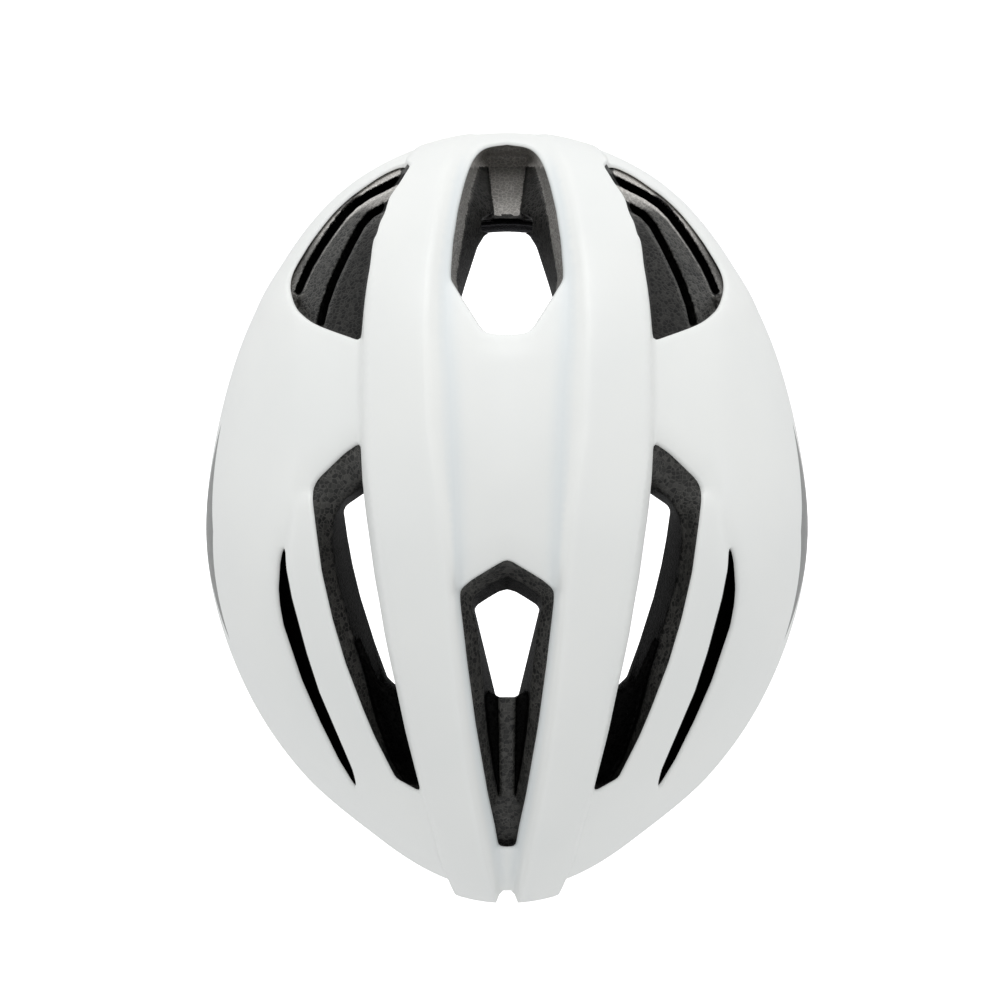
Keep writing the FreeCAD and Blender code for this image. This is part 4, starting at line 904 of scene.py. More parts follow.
    # louvred front vents: stepped bands with two deep slots
    gL = pix([(a * (1 + kk_), 520 + (b - 520) * (1 + kk_)) for (a, b), kk_ in zip(LOUVRE[:13], [0.010] * 8 + [0.008, 0.005, 0.003, 0.001, 0.0])] + [(147.2, 337), (145.5, 305), (142.8, 285), (137.5, 256), (131.6, 232), (125.9, 216), (115, 191), (102, 168)])
    s1 = pline(CUT_A)
    s2 = pline(CUT_B)
    w1 = np.interp(yv, [170, 200, 270, 300], [1.3, 1.35, 1.3, 1.1])
    w2 = np.interp(yv, [200, 230, 300, 330], [1.35, 1.35, 1.4, 1.4])
    # which band: outside slot 1, between, inside slot 2
    c1 = np.interp(yv, [b for a, b in CUT_A], [a for a, b in CUT_A])
    c2 = np.interp(yv, [b for a, b in CUT_B], [a for a, b in CUT_B])
    bandn = np.where(hwv > c1, 0, np.where(hwv > c2, 1, 2))
    e = np.where(bandn == 0, s1, np.where(bandn == 1, np.minimum(s2, 40), s2))
    depth = np.where(bandn == 0, 0.35 + 0.26 * np.clip(gL, 0, 7), np.where(bandn == 1, 2.2 + 0.26 * np.minimum(s1, 12), 2.4 + 0.20 * np.minimum(s2, 14)))
    # the outer band is a ledge that leans outwards far less than the skin does
    ob_ = np.array(LOUVRE[:8], float)
    ue, ve_ = px_to_uv(ob_)
    zE = np.interp(yv - 0.6 * np.clip(gL, 0, 5) / S, ob_[:, 1], surf(ue, ve_)[:, 2])
    ledge = z - (zE + 0.75 * np.clip(gL, 0, 5) - 1.2)
    depth = np.where(bandn == 0, np.maximum(depth, tt + ledge), depth)
    G = carve(G, np.minimum(gL + 0.2, depth - tt))
    deep = np.minimum(np.minimum(21 - tt, hh - 5.0), z - (ztop - 25.0))
    G = carve(G, np.minimum(np.minimum(w1 - s1, gL - 0.2), deep))
    G = carve(G, np.minimum(np.minimum(w2 - s2, gL - 0.2), deep))
    # guide groove on the outer band
    s3 = pline([(150, 198), (160.5, 207), (172, 221), (187, 243.5), (200, 267), (206.5, 281)])
    G = carve(G, np.minimum(0.5 - s3, 4.6 - tt))
    # recess for the height track
    ra = np.hypot(y - 14.0, z - 28.0)
    rec = np.minimum(np.minimum(12.6 - x, 93.8 - ra), np.where(y > 60, 60 - z, -1))
    G = carve(G, np.minimum(rec, ra - 80))
    F[act] = G
    F = F.reshape(len(xs), len(ys), len(zs))
    full = np.concatenate([F[:0:-1], F], 0)
    import openvdb as vdb
    g = vdb.FloatGrid(background=3.0)
    g.copyFromArray(np.clip(-full, -3, 3).astype(np.float32))
    pts, tris, quads = g.convertToPolygons(isovalue=0.0, adaptivity=0.0)
    org = np.array([-(len(xs) - 1) * vox, ys[0], zs[0]])
    V = pts * vox + org
    faces = [tuple(q) for q in quads] + [tuple(q) for q in tris]
    ob = new_mesh("eps_liner", V, faces)
    # painted light and shade of the moulded foam: bright facets near the skin, dark deep walls
    Vv = np.array([v.co for v in ob.data.vertices], np.float32) / MM
    X2, Y2, Z2 = np.abs(Vv[:, 0]), Vv[:, 1], Vv[:, 2]
    r3 = np.hypot(X2, Y2)
    rad = np.sqrt(r3 * r3 + (Z2 - C[2]) ** 2)
    fe = (np.arctan2(Z2 - C[2], r3) - el[0]) / (el[1] - el[0])
    fp = np.arctan2(X2, -Y2) / (ph[1] - ph[0])
    dep = (look(Ro, fp, fe) - rad) * look(Ca, fp, fe) - 1.35
    ins = (rad - look(Rh, fp, fe)) * 0.97
    kk = (D - ZR) / (D - Z2) / S
    hx, hy_ = X2 * kk, Y2 * kk + 520
    thr = np.full(len(Vv), 6.9)
    thr = np.where((hx < 52) & (hy_ > 550), 6.2, thr)
    thr = np.where((hx < 9.5) & (hy_ > 690), np.interp(hy_, [690, 700, 760, 806, 846], [7.5, 7.5, 6.6, 4.2, 2.6]) + 1.3, thr)
    thr = np.where((hy_ < 345) & (hx > 80), 5.6, thr)
    lit = 1 - smooth((dep - thr) / 1.3)
    zup = Z2 > 27.5
    near_l = (hy_ < 345) & (hx > 80) & zup
    qx, qy = np.where(near_l, hx, 0), np.where(near_l, hy_, 0)
    e1 = seg_dist(qx, qy, CUT_A) * S
    e2 = seg_dist(qx, qy, CUT_B) * S
    in_slot = near_l & (np.minimum(e1, e2) - 1.33 < 0.02)
    lit = np.where(near_l, np.where(in_slot, 0.0, 1 - smooth((dep - 16.0) / 2.0)), lit)
    lit = np.where((ins < 1.6) | (Z2 < 6), np.maximum(lit, 0.75), lit)
    sidex = np.interp(hy_, [150, 163, 213, 219, 240], [22, 21, 14, 13, 13])
    # painted highlight on the floor ramp of the front intake
    rampm = smooth((sidex + 0.5 - hx) / 2.5) * (0.92 + 0.23 * smooth((hy_ - 168) / 25.0)) * smooth((hy_ - 160) / 6.0) * (hy_ < 221) * (dep > 3.0) * (ins > 1.2)
    # painted light: foam towards the front painted brighter, as if lit from the front
    frontm = smooth((-Y2 - 86) / 40.0) * lit
    val = 0.06 + 0.38 * lit + 0.26 * frontm
    # painted light inside the front intake: walls and chamfers near the skin painted brighter
    intake = (hx < 62) & (hy_ > 140) & (hy_ < 336) & (ins > 1.2) & zup
    val = np.where(intake, np.maximum(val, 0.26), val)
    val = np.where(intake & (dep < 7.0), np.maximum(val, 0.82), val)
    # painted light in the deep trough under the front brow
    val = np.where((hx < 42) & (hy_ > 140) & (hy_ < 167) & (dep > 0) & (ins > 1.2) & zup, 1.0, val)
    val = np.where(zup, np.maximum(val, rampm), np.minimum(val, 0.44))
    # the outer bands of the louvres catch the light that comes over the front rim
    c1 = np.interp(hy_, [b for a, b in CUT_A], [a for a, b in CUT_A])
    c2 = np.interp(hy_, [b for a, b in CUT_B], [a for a, b in CUT_B])
    up = near_l & ~in_slot & (dep < 12)
    val = np.where(up & (hx > c1), np.maximum(val, 0.76 + 0.24 * smooth((262 - hy_) / 50.0)), val)
    val = np.where(up & (hx <= c1) & (hx > c2), np.maximum(val, 0.46 + 0.42 * smooth((236 - hy_) / 40.0)), val)
    val = np.where(up & (hx <= c2), 0.25 + 0.19 * smooth((240 - hy_) / 30.0), val)
    # painted highlight lines along the inner edges of the louvre slots
    ridge = np.exp(-((np.minimum(np.where(hx < c1, e1, 9), np.where(hx < c2, e2, 9)) - 1.75) / 0.5) ** 2)
    val = np.where(up, np.minimum(1.0, val + 0.34 * ridge), val)
    at = ob.data.attributes.new("lit", "FLOAT", "POINT")
    at.data.foreach_set("value", val.astype(np.float32))
    # light relaxation takes out the voxel steps
    sm = ob.modifiers.new("relax", "LAPLACIANSMOOTH")
    sm.iterations = 2
    sm.lambda_factor = 0.7
    sm.lambda_border = 0.0
    return ob


def build_lower():
    """Black lower shell: a band from the parting line down to the rim, rolled under at the rim."""
    nph = 721
    ph = np.linspace(0, 2 * math.pi, nph)[:-1]
    al = np.linspace(1.1, 2.4, 900)
    rows = []
    prof = [(0.0, -0.25), (0.0, 0.0)]
    NV = 15
    for p in ph:
        pa = p if p <= math.pi else 2 * math.pi - p
        r, z = base_rz(al, np.full_like(al, pa))
        yy = -r * math.cos(pa)
        ftop = z - (np.interp(yy, *PART) - 0.25)
        fbot = z - (np.interp(yy, *RIM) + 0.15)
        i = int(np.argmax(ftop < 0))
        a0 = al[i - 1] + (al[i] - al[i - 1]) * ftop[i - 1] / (ftop[i - 1] - ftop[i])
        j = int(np.argmax(fbot < 0))
        a1 = al[j - 1] + (al[j] - al[j - 1]) * fbot[j - 1] / (fbot[j - 1] - fbot[j])
        rows.append((a0, a1))
    rows = np.array(rows)
    n = len(ph)
    V, F = [], []

    def ring(a, off, dn=None):
        u, v = a * np.sin(ph), -a * np.cos(ph)
        P = surf(u, v)
        N = surf_normal(u, v)
        Q = P - N * off
        if dn is not None:
            Q = Q + dn
        V.append(Q)
    a0, a1 = rows[:, 0], rows[:, 1]
    ring(a0, 1.5)
    ring(a0, 0.55)
    ring(a0 + 0.002, 0.22)
    for k in range(NV):
        f = (k + 0.3) / NV
        ring(a0 + (a1 - a0) * f, 0.10)
    ring(a1 - 0.010, 0.12)
    ring(a1 - 0.004, 0.45)
    ring(a1, 1.1)
    # rolled under, towards the foam
    V.append(V[-1] * 1.0)
    c = V[-1].copy()
    rr = np.hypot(c[:, 0], c[:, 1])
    c[:, 0] *= (rr - 3.0) / rr
    c[:, 1] *= (rr - 3.0) / rr
    c[:, 2] += 0.05
    V[-1] = c
    c = c.copy()
    c[:, 2] += 1.3
    V.append(c)
    nr = len(V)
    V = np.concatenate(V)
    for k in range(nr - 1):
        for i in range(n):
            j = (i + 1) % n
            F.append((k * n + i, k * n + j, (k + 1) * n + j, (k + 1) * n + i))
    for i in range(n):
        j = (i + 1) % n
        F.append(((nr - 1) * n + i, (nr - 1) * n + j, j, i))
    ob = new_mesh("lower_shell_skin", V, F)
    fix_normals(ob)
    return ob
# ------------------------------------------------------------------ head surface and pads
def head_at(al, ph, off):
    al, ph = np.asarray(al, float), np.asarray(ph, float)
    A = series(HEADP, np.abs(ph)) + off
    B = HEAD_TOP - HEAD_W + off
    n = 2 + (HEAD_N - 2) * smooth(al / 0.9)
    am = np.minimum(al, math.pi / 2)
    s, c = np.maximum(np.sin(am), 1e-9), np.maximum(np.cos(am), 1e-9)
    R = ((s / A) ** n + (c / B) ** n) ** (-1 / n)
    low = al > math.pi / 2
    r = np.where(low, A, R * s)
    z = np.where(low, HEAD_W - A * (al - math.pi / 2), HEAD_W + R * c)
    return np.stack([r * np.sin(ph), -r * np.cos(ph), z], -1)


PAD0 = -0.95


def by_plan(a, b):
    ph, r = np.arctan2(a, -b), np.hypot(a, b)
    lo, hi = np.zeros_like(r), np.full_like(r, math.pi / 2)
    for _ in range(40):
        m = (lo + hi) / 2
        P = head_at(m, ph, PAD0)
        big = np.hypot(P[:, 0], P[:, 1]) > r
        hi = np.where(big, m, hi)
        lo = np.where(big, lo, m)
    return (lo + hi) / 2, ph


def by_side(a, b):
    """a is Y, b is Z; the left flank."""
    lo, hi = np.full_like(a, 20.0), np.full_like(a, 110.0)
    for _ in range(40):
        x = (lo + hi) / 2
        ph, r = np.arctan2(x, -a), np.hypot(x, a)
        A = series(HEADP, ph) + PAD0
        al = np.where(b > HEAD_W, np.arctan2(r, np.maximum(b - HEAD_W, 1e-6)), math.pi / 2 + (HEAD_W - b) / A)
        P = head_at(al, ph, PAD0)
        out = np.hypot(r, np.maximum(b - HEAD_W, 0)) > np.hypot(np.hypot(P[:, 0], P[:, 1]), np.maximum(P[:, 2] - HEAD_W, 0))
        hi = np.where(out, x, hi)
        lo = np.where(out, lo, x)
    return al, ph


def by_band(a, b):
    """a is the length along the brow from the middle, b is Z."""
    t = np.linspace(-1.2, 1.2, 2401)
    P = head_at(np.full_like(t, math.pi / 2), t, PAD0)
    s = np.concatenate([[0], np.cumsum(np.linalg.norm(np.diff(P[:, :2], axis=0), axis=1))])
    s -= s[1200]
    ph = np.interp(a, s, t)
    return math.pi / 2 + (HEAD_W - b) / (series(HEADP, np.abs(ph)) + PAD0), ph


def on_head(find, sx=1):
    def f(V):
        al, ph = find(V[:, 0], V[:, 1])
        P0 = head_at(al, ph, PAD0)
        P1 = head_at(al, ph, PAD0 - 4.0)
        P = P0 + (P1 - P0) * (V[:, 2] / 4.0)[:, None]
        P[:, 0] *= sx
        return P
    return f


def on_ring(R0, c, sx=1):
    def f(V):
        th = V[:, 0] / R0
        R = R0 - V[:, 2]
        return np.stack([sx * R * np.sin(th), c + R * np.cos(th), V[:, 1]], -1)
    return f


def rrect(cx, cy, w, l, rot=0.0, r=6.0):
    pts = []
    for sx, sy, a0 in ((1, 1, 0), (-1, 1, 90), (-1, -1, 180), (1, -1, 270)):
        for k in range(7):
            a = math.radians(a0 + 15 * k)
            pts.append((sx * (w / 2 - r) + r * math.cos(a), sy * (l / 2 - r) + r * math.sin(a)))
    c, s = math.cos(math.radians(rot)), math.sin(math.radians(rot))
    return [(cx + c * x - s * y, cy + s * x + c * y) for x, y in pts]


class Pad:
    """Flat pillow: cloth skin over a foam core, welded flat along its rim and sewn channels."""

    def __init__(self, name, outline, seams, full, step=1.9):
        self.name, self.full = name, full
        r = resample(outline, 1.7, True, 3)
        area2 = np.sum(r[:, 0] * np.roll(r[:, 1], -1) - np.roll(r[:, 0], -1) * r[:, 1])
        tan = np.roll(r, -1, 0) - np.roll(r, 1, 0)
        nin = np.stack([-tan[:, 1], tan[:, 0]], 1) * (1 if area2 > 0 else -1)
        nin /= np.linalg.norm(nin, axis=1, keepdims=True)
        rr = list(map(tuple, r))
        pts = list(rr)
        edges = [(i, (i + 1) % len(rr)) for i in range(len(rr))]

        def dist(P):
            return seg_dist(P[:, 0], P[:, 1], rr + [rr[0]])

        for off in (0.55, 1.5, 2.5):
            Q = r + nin * off
            ok = in_poly(Q[:, 0], Q[:, 1], rr) & (dist(Q) > off * 0.85)
            pts += [tuple(q) for q in Q[ok]]
        sd = []
        for line in seams:
            q = resample(line, 1.3, closed=False, soften=1)
            t = np.gradient(q, axis=0)
            nn = np.stack([-t[:, 1], t[:, 0]], 1)
            nn /= np.linalg.norm(nn, axis=1, keepdims=True)
            for off in (0.0, 0.8, -0.8, 1.9, -1.9):
                Q = q + nn * off
                ok = in_poly(Q[:, 0], Q[:, 1], rr) & (dist(Q) > 2.9)
                pts += [tuple(p) for p in Q[ok]]
        lo, hi = r.min(0), r.max(0)
        G = np.array([(x + (0.5 * step if k % 2 else 0), y) for k, y in enumerate(np.arange(lo[1], hi[1], step * 0.866)) for x in np.arange(lo[0], hi[0], step)])
        ok = in_poly(G[:, 0], G[:, 1], rr)
        G = G[ok]
        G = G[dist(G) > 3.4]
        for line in seams:
            G = G[seg_dist(G[:, 0], G[:, 1], list(map(tuple, line))) > 2.7]
        pts += [tuple(p) for p in G]
        res = delaunay_2d_cdt([Vector(p) for p in pts], edges, [], 0, 1e-6)
        P = np.array([(p[0], p[1]) for p in res[0]])
        F = [f for f in res[2] if len(f) == 3]
        c = np.array([P[list(f)].mean(0) for f in F])
        ok = in_poly(c[:, 0], c[:, 1], rr)
        F = [tuple(f) for f, k in zip(F, ok) if k]
        d = dist(P)
        n = len(P)
        h = 1.15 + 0.35 * smooth(d / 0.6) + (full - 1.5) * (1 - np.exp(-np.maximum(d - 1.5, 0) / 2.2)) * (d > 1.5)
        ds = np.full(n, 99.0)
        for line in seams:
            ds = np.minimum(ds, seg_dist(P[:, 0], P[:, 1], list(map(tuple, line))))
        h = np.where(ds < 3.0, 1.9 + (h - 1.9) * smooth(ds / 3.0), h)
        E = {}
        for f in F:
            for a, b in ((f[0], f[1]), (f[1], f[2]), (f[2], f[0])):
                E[(min(a, b), max(a, b))] = E.get((min(a, b), max(a, b)), 0) + 1
        B = [k for k, v in E.items() if v == 1]
        rim = sorted({i for k in B for i in k})
        self.V = np.vstack([np.column_stack([P, h]), np.column_stack([P, np.zeros(n)])])
        self.F = F + [(f[0] + n, f[2] + n, f[1] + n) for f in F] + [(a, b, b + n, a + n) for a, b in B]
        self.pin = sorted(set(np.nonzero((d < 1.7) | (ds < 0.5))[0].tolist()) | set(range(n, 2 * n)) | set(rim))
        self.d, self.ds, self.n = d, ds, n
        self.bulge = smooth(np.minimum((d - 1.5) / 5.0, ds / 4.0))

    def place(self, name, fn, body, cadnode, material):
        V = self.V.copy()
        n = self.n
        # fabric texture of the hand: tiny puckers beside the rim weld and the channels
        x, y = V[:n, 0], V[:n, 1]
        near = np.exp(-((self.d - 2.6) / 1.6) ** 2) + 0.8 * np.exp(-((self.ds - 1.6) / 1.3) ** 2)
        V[:n, 2] += 0.16 * near * np.sin(x * 1.9 + 0.7 * np.sin(y * 0.8)) * np.sin(y * 1.7 + 0.9 * np.sin(x * 0.6))
        ob = new_mesh(name, fn(V), self.F)
        fix_normals(ob)
        sub = ob.modifiers.new("round", "SUBSURF")
        sub.levels = sub.render_levels = 1
        ob.data.materials.append(material)
        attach(ob, body)
        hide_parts(cadnode)
        return ob


def inflate(pads):
    """Cloth pass: pressure swells each skin between its pinned weld lines; travel is capped."""
    K, CAP = 5.0, 1.25
    for p in pads:
        p.V[:p.n, 2] += 0.5 * p.bulge
    obs = []
    for k, p in enumerate(pads):
        ob = new_mesh("sim_%d" % k, p.V * K, p.F)
        fix_normals(ob)
        vg = ob.vertex_groups.new(name="pin")
        vg.add([int(i) for i in p.pin], 1.0, "REPLACE")
        md = ob.modifiers.new("cloth", "CLOTH")
        s = md.settings
        s.quality = 4
        s.mass = 0.25
        s.tension_stiffness = s.compression_stiffness = 14
        s.shear_stiffness = 6
        s.bending_stiffness = 0.4
        s.use_pressure = True
        s.uniform_pressure_force = 4.0
        s.vertex_group_mass = "pin"
        s.effector_weights.gravity = 0.0
        md.collision_settings.use_collision = False
        md.collision_settings.use_self_collision = False
        md.point_cache.frame_start, md.point_cache.frame_end = 1, 20
        obs.append(ob)
    sc = bpy.context.scene
    for f in range(1, 21):
        sc.frame_set(f)
    dg = bpy.context.evaluated_depsgraph_get()
    for ob, p in zip(obs, pads):
        me = ob.evaluated_get(dg).to_mesh()
        co = np.array([v.co for v in me.vertices], float) / MM / K
        if co.shape == p.V.shape and np.isfinite(co).all():
            dd = co - p.V
            L = np.linalg.norm(dd, axis=1, keepdims=True)
            dd = dd * np.minimum(1.0, CAP / np.maximum(L, 1e-9))
            dd[:, :2] *= 0.6
            p.V = p.V + dd
            print("CLOTH", p.name, "lift", round(float(L.max()), 2))
        ob.evaluated_get(dg).to_mesh_clear()
        bpy.data.objects.remove(ob, do_unlink=True)
    sc.frame_set(1)


def m_knit(name="pad_fabric", col=(0.020, 0.020, 0.023)):
    m, nt, b, tc = mat(name)
    big = noise(nt, tc, 120.0, 4.0)
    c = ramp(nt, big, [(0.3, tuple(x * 0.75 for x in col)), (0.7, tuple(x * 1.7 for x in col))])
    v = node(nt, "ShaderNodeTexVoronoi", feature="F1", Scale=1500.0)
    nt.links.new(tc.outputs["Object"], v.inputs["Vector"])
    loop = ramp(nt, v.outputs["Distance"], [(0.0, (1.25, 1.25, 1.25)), (0.6, (0.55, 0.55, 0.55))])
    nt.links.new(mixc(nt, 1.0, c, loop, "MULTIPLY"), b.inputs["Base Color"])
    b.inputs["Roughness"].default_value = 0.92
    b.inputs["Sheen Weight"].default_value = 0.55
    b.inputs["Sheen Roughness"].default_value = 0.4
    b.inputs["Sheen Tint"].default_value = (0.45, 0.45, 0.5, 1)
    b1 = bump(nt, b, v.outputs["Distance"], 0.7, 0.0003)
    bump(nt, b, noise(nt, tc, 5200.0, 3.0), 0.35, 0.00012, b1)
    return m


def m_webbing(name="webbing", col=(0.016, 0.016, 0.018)):
    """Herringbone weave that follows the strap's own lengths, stored on the mesh in millimetres."""
    m, nt, b, tc = mat(name)
    at = nt.nodes.new("ShaderNodeAttribute")
    at.attribute_name = "st"
    sep = nt.nodes.new("ShaderNodeSeparateXYZ")
    nt.links.new(at.outputs["Vector"], sep.inputs[0])
    u, v = sep.outputs[0], sep.outputs[1]
    zig = math_n(nt, "PINGPONG", math_n(nt, "ADD", u, 40.0), 2.6)
    s1 = math_n(nt, "SINE", math_n(nt, "MULTIPLY", math_n(nt, "ADD", v, zig), 2 * math.pi / 1.15))
    s2 = math_n(nt, "SINE", math_n(nt, "MULTIPLY", u, 2 * math.pi / 0.65))
    h = math_n(nt, "MULTIPLY_ADD", s1, 0.35, 0.5)
    h = math_n(nt, "MULTIPLY_ADD", s2, 0.15, h)
    big = noise(nt, tc, 160.0, 3.0)
    c = ramp(nt, h, [(0.05, tuple(x * 0.35 for x in col)), (0.6, col), (1.0, tuple(x * 2.3 for x in col))])
    c2 = ramp(nt, big, [(0.3, (0.8, 0.8, 0.8)), (0.7, (1.2, 1.2, 1.2))])
    nt.links.new(mixc(nt, 1.0, c, c2, "MULTIPLY"), b.inputs["Base Color"])
    b.inputs["Roughness"].default_value = 0.66
    b.inputs["Sheen Weight"].default_value = 0.3
    b.inputs["Sheen Roughness"].default_value = 0.35
    b1 = bump(nt, b, h, 0.8, 0.00035)
    bump(nt, b, noise(nt, tc, 4200.0, 2.0), 0.3, 0.0001, b1)
    return m


def m_metal(name, col, rough, stretch=(1, 1, 14)):
    m, nt, b, tc = mat(name)
    mp = nt.nodes.new("ShaderNodeMapping")
    mp.inputs["Scale"].default_value = stretch
    nt.links.new(tc.outputs["Object"], mp.inputs["Vector"])
    n = node(nt, "ShaderNodeTexNoise", Scale=700.0, Detail=4.0)
    nt.links.new(mp.outputs[0], n.inputs["Vector"])
    nt.links.new(ramp(nt, n.outputs["Fac"], [(0.3, tuple(x * 0.82 for x in col)), (0.7, col)]), b.inputs["Base Color"])
    nt.links.new(ramp(nt, n.outputs["Fac"], [(0.3, (rough - 0.08,) * 3), (0.7, (rough + 0.1,) * 3)]), b.inputs["Roughness"])
    b.inputs["Metallic"].default_value = 1.0
    bump(nt, b, n.outputs["Fac"], 0.15, 0.0001)
    return m


def m_hook():
    m, nt, b, tc = mat("hook_tape")
    v = node(nt, "ShaderNodeTexVoronoi", feature="F1", Scale=1300.0)
    nt.links.new(tc.outputs["Object"], v.inputs["Vector"])
    nt.links.new(ramp(nt, v.outputs["Distance"], [(0.0, (0.07, 0.07, 0.07)), (0.5, (0.008, 0.008, 0.008))]), b.inputs["Base Color"])
    b.inputs["Roughness"].default_value = 0.55
    bump(nt, b, math_n(nt, "SUBTRACT", 1.0, v.outputs["Distance"]), 1.0, 0.0006)
    return m


# ------------------------------------------------------------------ webbing
def through(path, step=1.15):
    """Smooth curve through the points, with the position of every sample along the list."""
    P = np.array(path, float)
    t = np.concatenate([[0], np.cumsum(np.linalg.norm(np.diff(P, axis=0), axis=1))])
    M = np.zeros_like(P)
    for i in range(len(P)):
        if i == 0:
            M[i] = (P[1] - P[0]) / (t[1] - t[0])
        elif i == len(P) - 1:
            M[i] = (P[-1] - P[-2]) / (t[-1] - t[-2])
        else:
            a, b = t[i] - t[i - 1], t[i + 1] - t[i]
            M[i] = ((P[i] - P[i - 1]) / a * b + (P[i + 1] - P[i]) / b * a) / (a + b)
    out, par = [], []
    for i in range(len(P) - 1):
        L = t[i + 1] - t[i]
        k = max(2, int(round(L / step)))
        for j in range(k + (1 if i == len(P) - 2 else 0)):
            s = j / k
            a, b, c, d = 2 * s ** 3 - 3 * s ** 2 + 1, s ** 3 - 2 * s ** 2 + s, -2 * s ** 3 + 3 * s ** 2, s ** 3 - s ** 2
            out.append(a * P[i] + b * L * M[i] + c * P[i + 1] + d * L * M[i + 1])
            par.append(i + s)
    return np.array(out), np.array(par)


def frames(path, ws, hints, step=1.15):
    C, par = through(path, step)
    H = np.stack([np.interp(par, range(len(hints)), [h[k] for h in hints]) for k in range(3)], -1)
    W = np.interp(par, range(len(ws)), ws)
    T = np.gradient(C, axis=0)
    T /= np.linalg.norm(T, axis=1, keepdims=True)
    U = H - T * (H * T).sum(1, keepdims=True)
    U /= np.linalg.norm(U, axis=1, keepdims=True)
    N = np.cross(T, U)
    s = np.concatenate([[0], np.cumsum(np.linalg.norm(np.diff(C, axis=0), axis=1))])
    return C, T, U, N, W, s


def tube(name, C, U, N, section, s, closed_ends=True):
    """Sweeps per-sample sections (list of (a, b) offsets along U and N)."""
    n, m = len(C), len(section[0])
    V = np.concatenate([C[i] + np.outer(section[i][:, 0], U[i]) + np.outer(section[i][:, 1], N[i]) for i in range(n)])
    F = [(i * m + j, i * m + (j + 1) % m, (i + 1) * m + (j + 1) % m, (i + 1) * m + j) for i in range(n - 1) for j in range(m)]
    if closed_ends:
        F += [tuple(range(m - 1, -1, -1)), tuple(range((n - 1) * m, n * m))]
    ob = new_mesh(name, V, F)
    fix_normals(ob)
    at = ob.data.attributes.new("st", "FLOAT_VECTOR", "POINT")
    st = np.zeros((len(ob.data.vertices), 3), np.float32)
    if len(st) == n * m:
        for i in range(n):
            st[i * m:(i + 1) * m, 0] = section[i][:, 0]
            st[i * m:(i + 1) * m, 1] = s[i]
    at.data.foreach_set("vector", st.ravel())
    return ob


def flat_section(w, t, k=15):
    a = np.sin(np.linspace(-math.pi / 2, math.pi / 2, k))
    e = t / 2 * np.sqrt(np.clip(1 - np.abs(a) ** 9, 0, 1))
    e *= 1 + 0.10 * np.exp(-((np.abs(a) - 0.9) / 0.05) ** 2)      # thicker selvedge
    top = np.stack([a * w / 2, e], 1)
    bot = np.stack([a[1:-1][::-1] * w / 2, -e[1:-1][::-1]], 1)
    return np.vstack([top, bot])


def strap(name, path, ws, hints, t=1.6):
    C, T, U, N, W, s = frames(path, ws, hints)
    return tube(name, C, U, N, [flat_section(w, t) for w in W], s), (C, T, U, N, W, s)


def stitches(name, fr, rows, t=1.6, span=0.36, pitch=1.9, rad=0.34):
    """Short thread loops across the strap at the given lengths, standing just proud of both faces."""
    C, T, U, N, W, s = fr
    V, F = [], []
    for ds in rows:
        for sd in (1, -1):
            k = int(np.argmin(np.abs(s - ds)))
            w = W[k] * span
            a = -w
            while a < w:
                L = pitch * 0.36
                c = C[k] + U[k] * (a + pitch / 2) + N[k] * (sd * (t / 2 + 0.02))
                base_i = len(V)
                for q, rr in ((-1, 0.25), (-0.6, 0.9), (0.6, 0.9), (1, 0.25)):
                    for j in range(6):
                        g = j * math.pi / 3
                        V.append(c + U[k] * (q * L) + T[k] * (rad * rr * math.cos(g)) + N[k] * (rad * rr * 0.8 * math.sin(g)))
                for q in range(3):
                    for j in range(6):
                        F.append((base_i + q * 6 + j, base_i + q * 6 + (j + 1) % 6, base_i + (q + 1) * 6 + (j + 1) % 6, base_i + (q + 1) * 6 + j))
                F.append(tuple(base_i + j for j in range(5, -1, -1)))
                F.append(tuple(base_i + 18 + j for j in range(6)))
                a += pitch
    ob = new_mesh(name, V, F)
    fix_normals(ob)
    return ob


def mir(path):
    return [(-a, b, c) for a, b, c in path]


